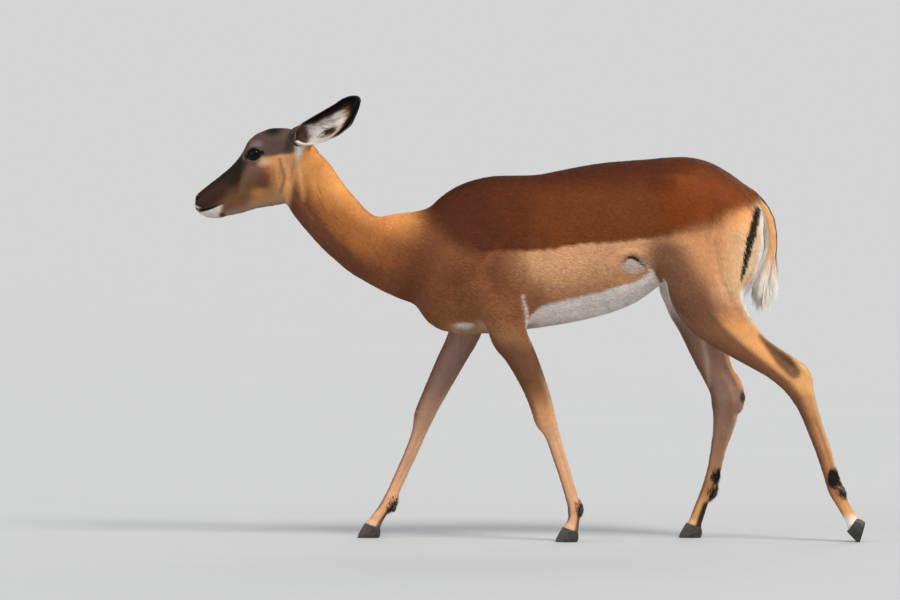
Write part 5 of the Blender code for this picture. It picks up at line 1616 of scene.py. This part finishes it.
def longPiece(name, paths, facing, wide, shades, places):
    # Paths and shades: one array for each station.
    hairs = strips(np.stack(paths, axis=1), facing, wide, np.stack(shades, axis=1))
    finishPiece(meshPiece(name, *hairs, places), hair)


tail = {"hairs": 8600, "locks": 90, "rearmost": 0.5830}


def tailHair():
    # Short hair lies on the dock. Long white locks hang from its edges and end, parted into a loose fringe.
    count, locks = tail["hairs"] // thinning, tail["locks"]
    fringe = rng.random(count) < 0.50
    lockTurn = np.pi + rng.uniform(-2.6, 2.6, locks)
    lockTop = rng.uniform(0.615, 0.725, locks)
    lockReach = (lockTop - 0.528) * rng.uniform(0.45, 1.0, locks)
    lockFling = rng.normal(0.004, 0.0125, locks)
    lockSide = rng.normal(0, 0.0100, locks)
    own = rng.integers(0, locks, count)
    z0 = np.where(fringe, lockTop[own] + rng.normal(0, 0.004, count), rng.uniform(0.612, 0.805, count))
    length = np.interp(z0, [0.61, 0.66, 0.72, 0.80], [0.050, 0.042, 0.030, 0.020])
    length = length * rng.uniform(0.75, 1.15, count)
    length = np.where(fringe, lockReach[own] * rng.uniform(0.70, 1.04, count), length)
    turn = np.where(fringe, lockTurn[own] + rng.normal(0, 0.16, count), rng.uniform(0, 2 * np.pi, count))
    full = np.where(fringe, rng.uniform(0.45, 0.85, count), rng.uniform(0.84, 0.95, count))
    fling = np.where(fringe, lockFling[own] + rng.normal(0, 0.0010, count), 0.0)
    side = np.where(fringe, lockSide[own] + rng.normal(0, 0.0010, count), 0.0)
    paths = []
    for t in (0.0, 0.2, 0.45, 0.7, 0.88, 1.0):
        z = z0 - length * t
        x, deep, wide = (np.interp(-z, -tailRows[:, 1], tailRows[:, k]) for k in (0, 2, 3))
        deep, wide = (np.maximum(deep, 0.010), np.maximum(wide, 0.010)) if t > 0.5 else (deep, wide)
        f = np.where(fringe, full * (0.75 + 0.25 * ramp(t, 0.0, 0.5)), full)
        ahead = np.minimum(x + deep * f * np.cos(turn) + fling * t ** 1.6, tail["rearmost"])
        paths.append(np.stack([ahead, wide * f * np.sin(turn) + side * t ** 1.6, z], axis=1))
    facing = np.stack([np.cos(turn), np.sin(turn), 0 * turn], axis=1)
    facing[:, 1] += np.where(fringe, rng.normal(0, 0.5, count), 0)
    wide = np.where(fringe[:, None], [[0.0009, 0.0010, 0.0009, 0.0006]], [[0.0012, 0.0014, 0.0011, 0.0008]])
    wide = wide * rng.uniform(0.7, 1.2, (count, 1))
    behind = ramp(np.cos(turn), -0.60, -0.25) * ramp(full, 0.6, 0.8)
    vary = 1 + rng.normal(0, 0.05, (count, 1))
    # roots a little darker than the tips: painted shade in the tail's hair
    shades = [tailColour(path, behind) * (0.96 + 0.12 * k / 5) * vary for k, path in enumerate(paths)]
    places = np.stack([(turn / (2 * np.pi) % 1.0) * 0.96 + 0.02, (z0 - 0.58) / 0.24], axis=1)
    longPiece("coat_tail", paths, unit(facing), wide, shades, places)


# Tufts of long dark hair: side, x and z of the middle of the roots, reach, hairs, length, hang back.
tufts = [
    (-1, 0.7060, 0.1500, 0.0150, 900, 0.0150, 0.35), (1, 0.4350, 0.1480, 0.0120, 500, 0.0130, 0.35),
    (-1, 0.7300, 0.1230, 0.0140, 700, 0.0120, 0.55), (1, 0.4350, 0.1090, 0.0140, 700, 0.0130, 0.45),
    (-1, 0.1190, 0.0800, 0.0140, 700, 0.0120, 0.45), (1, -0.3180, 0.0780, 0.0140, 700, 0.0120, 0.45),
]


def tuftHair():
    parts = []
    for k, (side, x, z, reach, count, length, back) in enumerate(tufts):
        middle = np.array((x, side * (0.070 if x < 0.2 else 0.074), z))
        away = np.linalg.norm((skinPoints - middle) * (1, 0.7, 0.8), axis=1)
        near = np.flatnonzero((away < reach * 1.5) & (skinNormals[:, 0] > -0.25))
        odds = bell(away[near], 0.0, reach)
        pick = rng.choice(near, count // thinning, p=odds / odds.sum())
        spots, n = skinPoints[pick], skinNormals[pick]
        roots = spots + rng.normal(0, 0.0009, (len(pick), 3))
        lie = lieOfCoat(spots, n) + n * back * 0.5 + np.array((back, 0, -0.4))
        lie = lie + rng.normal(0, 0.12, (len(pick), 3))
        size = length * rng.uniform(0.6, 1.15, len(pick)) * (1 - 0.35 * away[pick] / reach)
        places = np.stack([(k + 0.1 + 0.8 * rng.random(len(pick))) / len(tufts),
                           0.5 + (spots[:, 2] - z) * 20], axis=1)
        parts.append((roots, unit(lie), n, size[:, None], places))
    roots, lie, n, size, places = (np.concatenate(column) for column in zip(*parts))
    drop = np.array((0.0, 0.0, -0.28))
    paths = [roots + (lie * t + drop * t * t) * size for t in hairSteps]
    wide = np.array([[0.00075, 0.00055]]) * rng.uniform(0.8, 1.2, (len(roots), 1))
    colour = np.where(roots[:, :1] < 0.2, linear(coatHex["foldShadowAndDarkHair"]), linear(coatHex["stripe"]))
    colour = colour * (1 + rng.uniform(0, 1.2, (len(roots), 1)))
    # roots darker than the tips: painted shade among the tufts' hairs
    longPiece("coat_tufts", paths, n, wide, [colour * s for s in (0.8, 1.0, 1.1, 1.2)], places)


earHairs = 11000      # on each ear, inside and outside


def earHair():
    for side in (-1, 1):
        count = earHairs // thinning
        inside = rng.random(count) < 0.5
        share = rng.uniform(0.02, 0.985, count)
        turn = rng.uniform(-1, 1, count)
        long = inside & (rng.random(count) < 0.30)
        length = np.where(long, rng.uniform(0.014, 0.024, count), rng.uniform(0.0035, 0.0070, count))
        reach = np.minimum(length, (1.0 - share) * ear["length"] + 0.003) / ear["length"]
        stand = np.where(long, rng.uniform(0.0010, 0.0035, count), rng.uniform(0.0001, 0.0004, count))
        spread = rng.normal(0, 0.05, count) + np.where(long, 0.10 * np.sign(-turn), 0.0)
        deep = np.where(inside, ear["coat"] + ear["wall"] + 0.0001, ear["coat"])
        away = np.where(inside, 1.0, -1.0)
        paths = []
        for t, up in zip(hairSteps, (-0.2, 0.8, 1.0, 0.9)):
            u, v = np.clip(share + reach * t, 0.0, 0.999), np.clip(turn + spread * t, -1.0, 1.0)
            paths.append(earSheet(side, u, v, deep + away * stand * up))
        facing = unit((earSheet(side, share, turn * 0, np.full(count, 0.02)) - paths[0]) * away[:, None])
        wide = np.where(long, 0.0008, 0.0010)[:, None] * np.array([[1.0, 0.8]])
        wide = wide * rng.uniform(0.7, 1.2, (count, 1))
        colour = earColour(np.clip(share + rng.normal(0, 0.012, count), 0, 1), turn, inside * 1.0)
        white = long & (share > 0.14 + 0.10 * turn) & (share < 0.36) & (turn < 0.50)
        white &= rng.random(count) < 0.8
        colour = np.where(white[:, None], linear(coatHex["earInside"]), colour)
        colour = colour * (1 + rng.normal(0, 0.07, (count, 1)))
        places = np.stack([0.02 + 0.47 * (turn + 1) / 2 + 0.5 * inside, 0.02 + 0.96 * share], axis=1)
        # roots darker than the tips: painted shade among the ear's hairs
        shades = [colour * s for s in (0.84, 0.98, 1.04, 1.10)]
        longPiece(f"coat_ear_{sideName[side]}", paths, facing, wide, shades, places)


tailHair()
tuftHair()
earHair()
report("tail and ears haired")


# Floor, backdrop, camera and lights.

studio = {
    "aim": (-0.1850, 0.0, 0.5616),
    "distance": 16.0,          # metres, a long lens as for shy game
    "frameWidth": 2.106,       # metres that the lens takes in at the animal
    "elevation": 2.0,          # degrees over the level
    "sensor": 36,              # millimetres
    "floor": 150.0,            # radius in metres
    "paper": "#a9adb1",
    "air": (0.66, 0.66, 0.66),     # light from all round, linear
    # Soft suns, each as wide as a big softbox: place, width in degrees, power, colour.
    "lights": {"key": ((2.2, -2.6, 4.4), 22, 2.9, "#fff6ea"),
               "fill": ((-3.6, -2.4, 1.6), 50, 0.9, "#f4f6ff"),
               "rim": ((1.2, 3.6, 2.4), 30, 0.8, "#fff8f0")},
}


def paperMaterial():
    # Studio paper, rolled out matt: plain and pale. Far off it fades into the air, so there is no horizon.
    material, tree = newMaterial("studio paper, matt")
    spots = addNode(tree, "TexCoord")
    cloud = addNode(tree, "TexNoise", values={"Scale": 1.5, "Detail": 3.0},
                    links={"Vector": spots.outputs["Object"]})
    paper = linear(studio["paper"])
    tint = addNode(tree, "Mix", {"data_type": "RGBA"}, {6: (*paper * 0.97, 1.0), 7: (*paper, 1.0)},
                   {0: cloud.outputs["Fac"]})
    shader = addNode(tree, "BsdfPrincipled", values={"Roughness": 0.9, "Specular IOR Level": 0.1},
                     links={"Base Color": tint.outputs[2]})
    reach = addNode(tree, "VectorMath", {"operation": "LENGTH"}, links={"Vector": spots.outputs["Object"]})
    fade = addNode(tree, "MapRange", {"interpolation_type": "SMOOTHSTEP"},
                   {"From Min": 3.0, "From Max": 24.0}, {"Value": reach.outputs["Value"]})
    far = addNode(tree, "Emission", values={"Color": (*studio["air"], 1.0), "Strength": 1.0})
    mix = addNode(tree, "MixShader",
                  links={0: fade.outputs["Result"], 1: shader.outputs["BSDF"], 2: far.outputs["Emission"]})
    addNode(tree, "OutputMaterial", links={"Surface": mix.outputs["Shader"]})
    return material


def placeCamera():
    camera = addThing("camera", bpy.data.cameras.new("camera"))
    tilt = math.radians(studio["elevation"])
    back = Vector((0, -math.cos(tilt), math.sin(tilt))) * studio["distance"]
    camera.location = Vector(studio["aim"]) + Vector(shift) + back
    camera.rotation_euler = (math.radians(90) - tilt, 0, 0)
    camera.data.lens = studio["sensor"] * studio["distance"] / studio["frameWidth"]
    camera.data.sensor_width = studio["sensor"]
    bpy.context.scene.camera = camera


def layFloor():
    shape = bmesh.new()
    bmesh.ops.create_circle(shape, cap_ends=True, segments=96, radius=studio["floor"])
    floor = addThing("floor", pour(shape))
    floor.data.materials.append(paperMaterial())


def lightStudio():
    world = bpy.data.worlds.new("studio")
    world.use_nodes = True
    sky = world.node_tree.nodes["Background"].inputs
    sky["Color"].default_value = (*studio["air"], 1.0)
    sky["Strength"].default_value = 1.0
    bpy.context.scene.world = world
    for name, (place, width, power, tint) in studio["lights"].items():
        light = addThing(name, bpy.data.lights.new(name, "SUN"))
        light.data.angle = math.radians(width)
        light.data.energy = power
        light.data.color = linear(tint)
        light.location = place
        light.rotation_euler = (-Vector(place)).to_track_quat("-Z", "Y").to_euler()
    bpy.context.scene.view_settings.view_transform = "Standard"


placeCamera()
layFloor()
lightStudio()
report("studio lit")
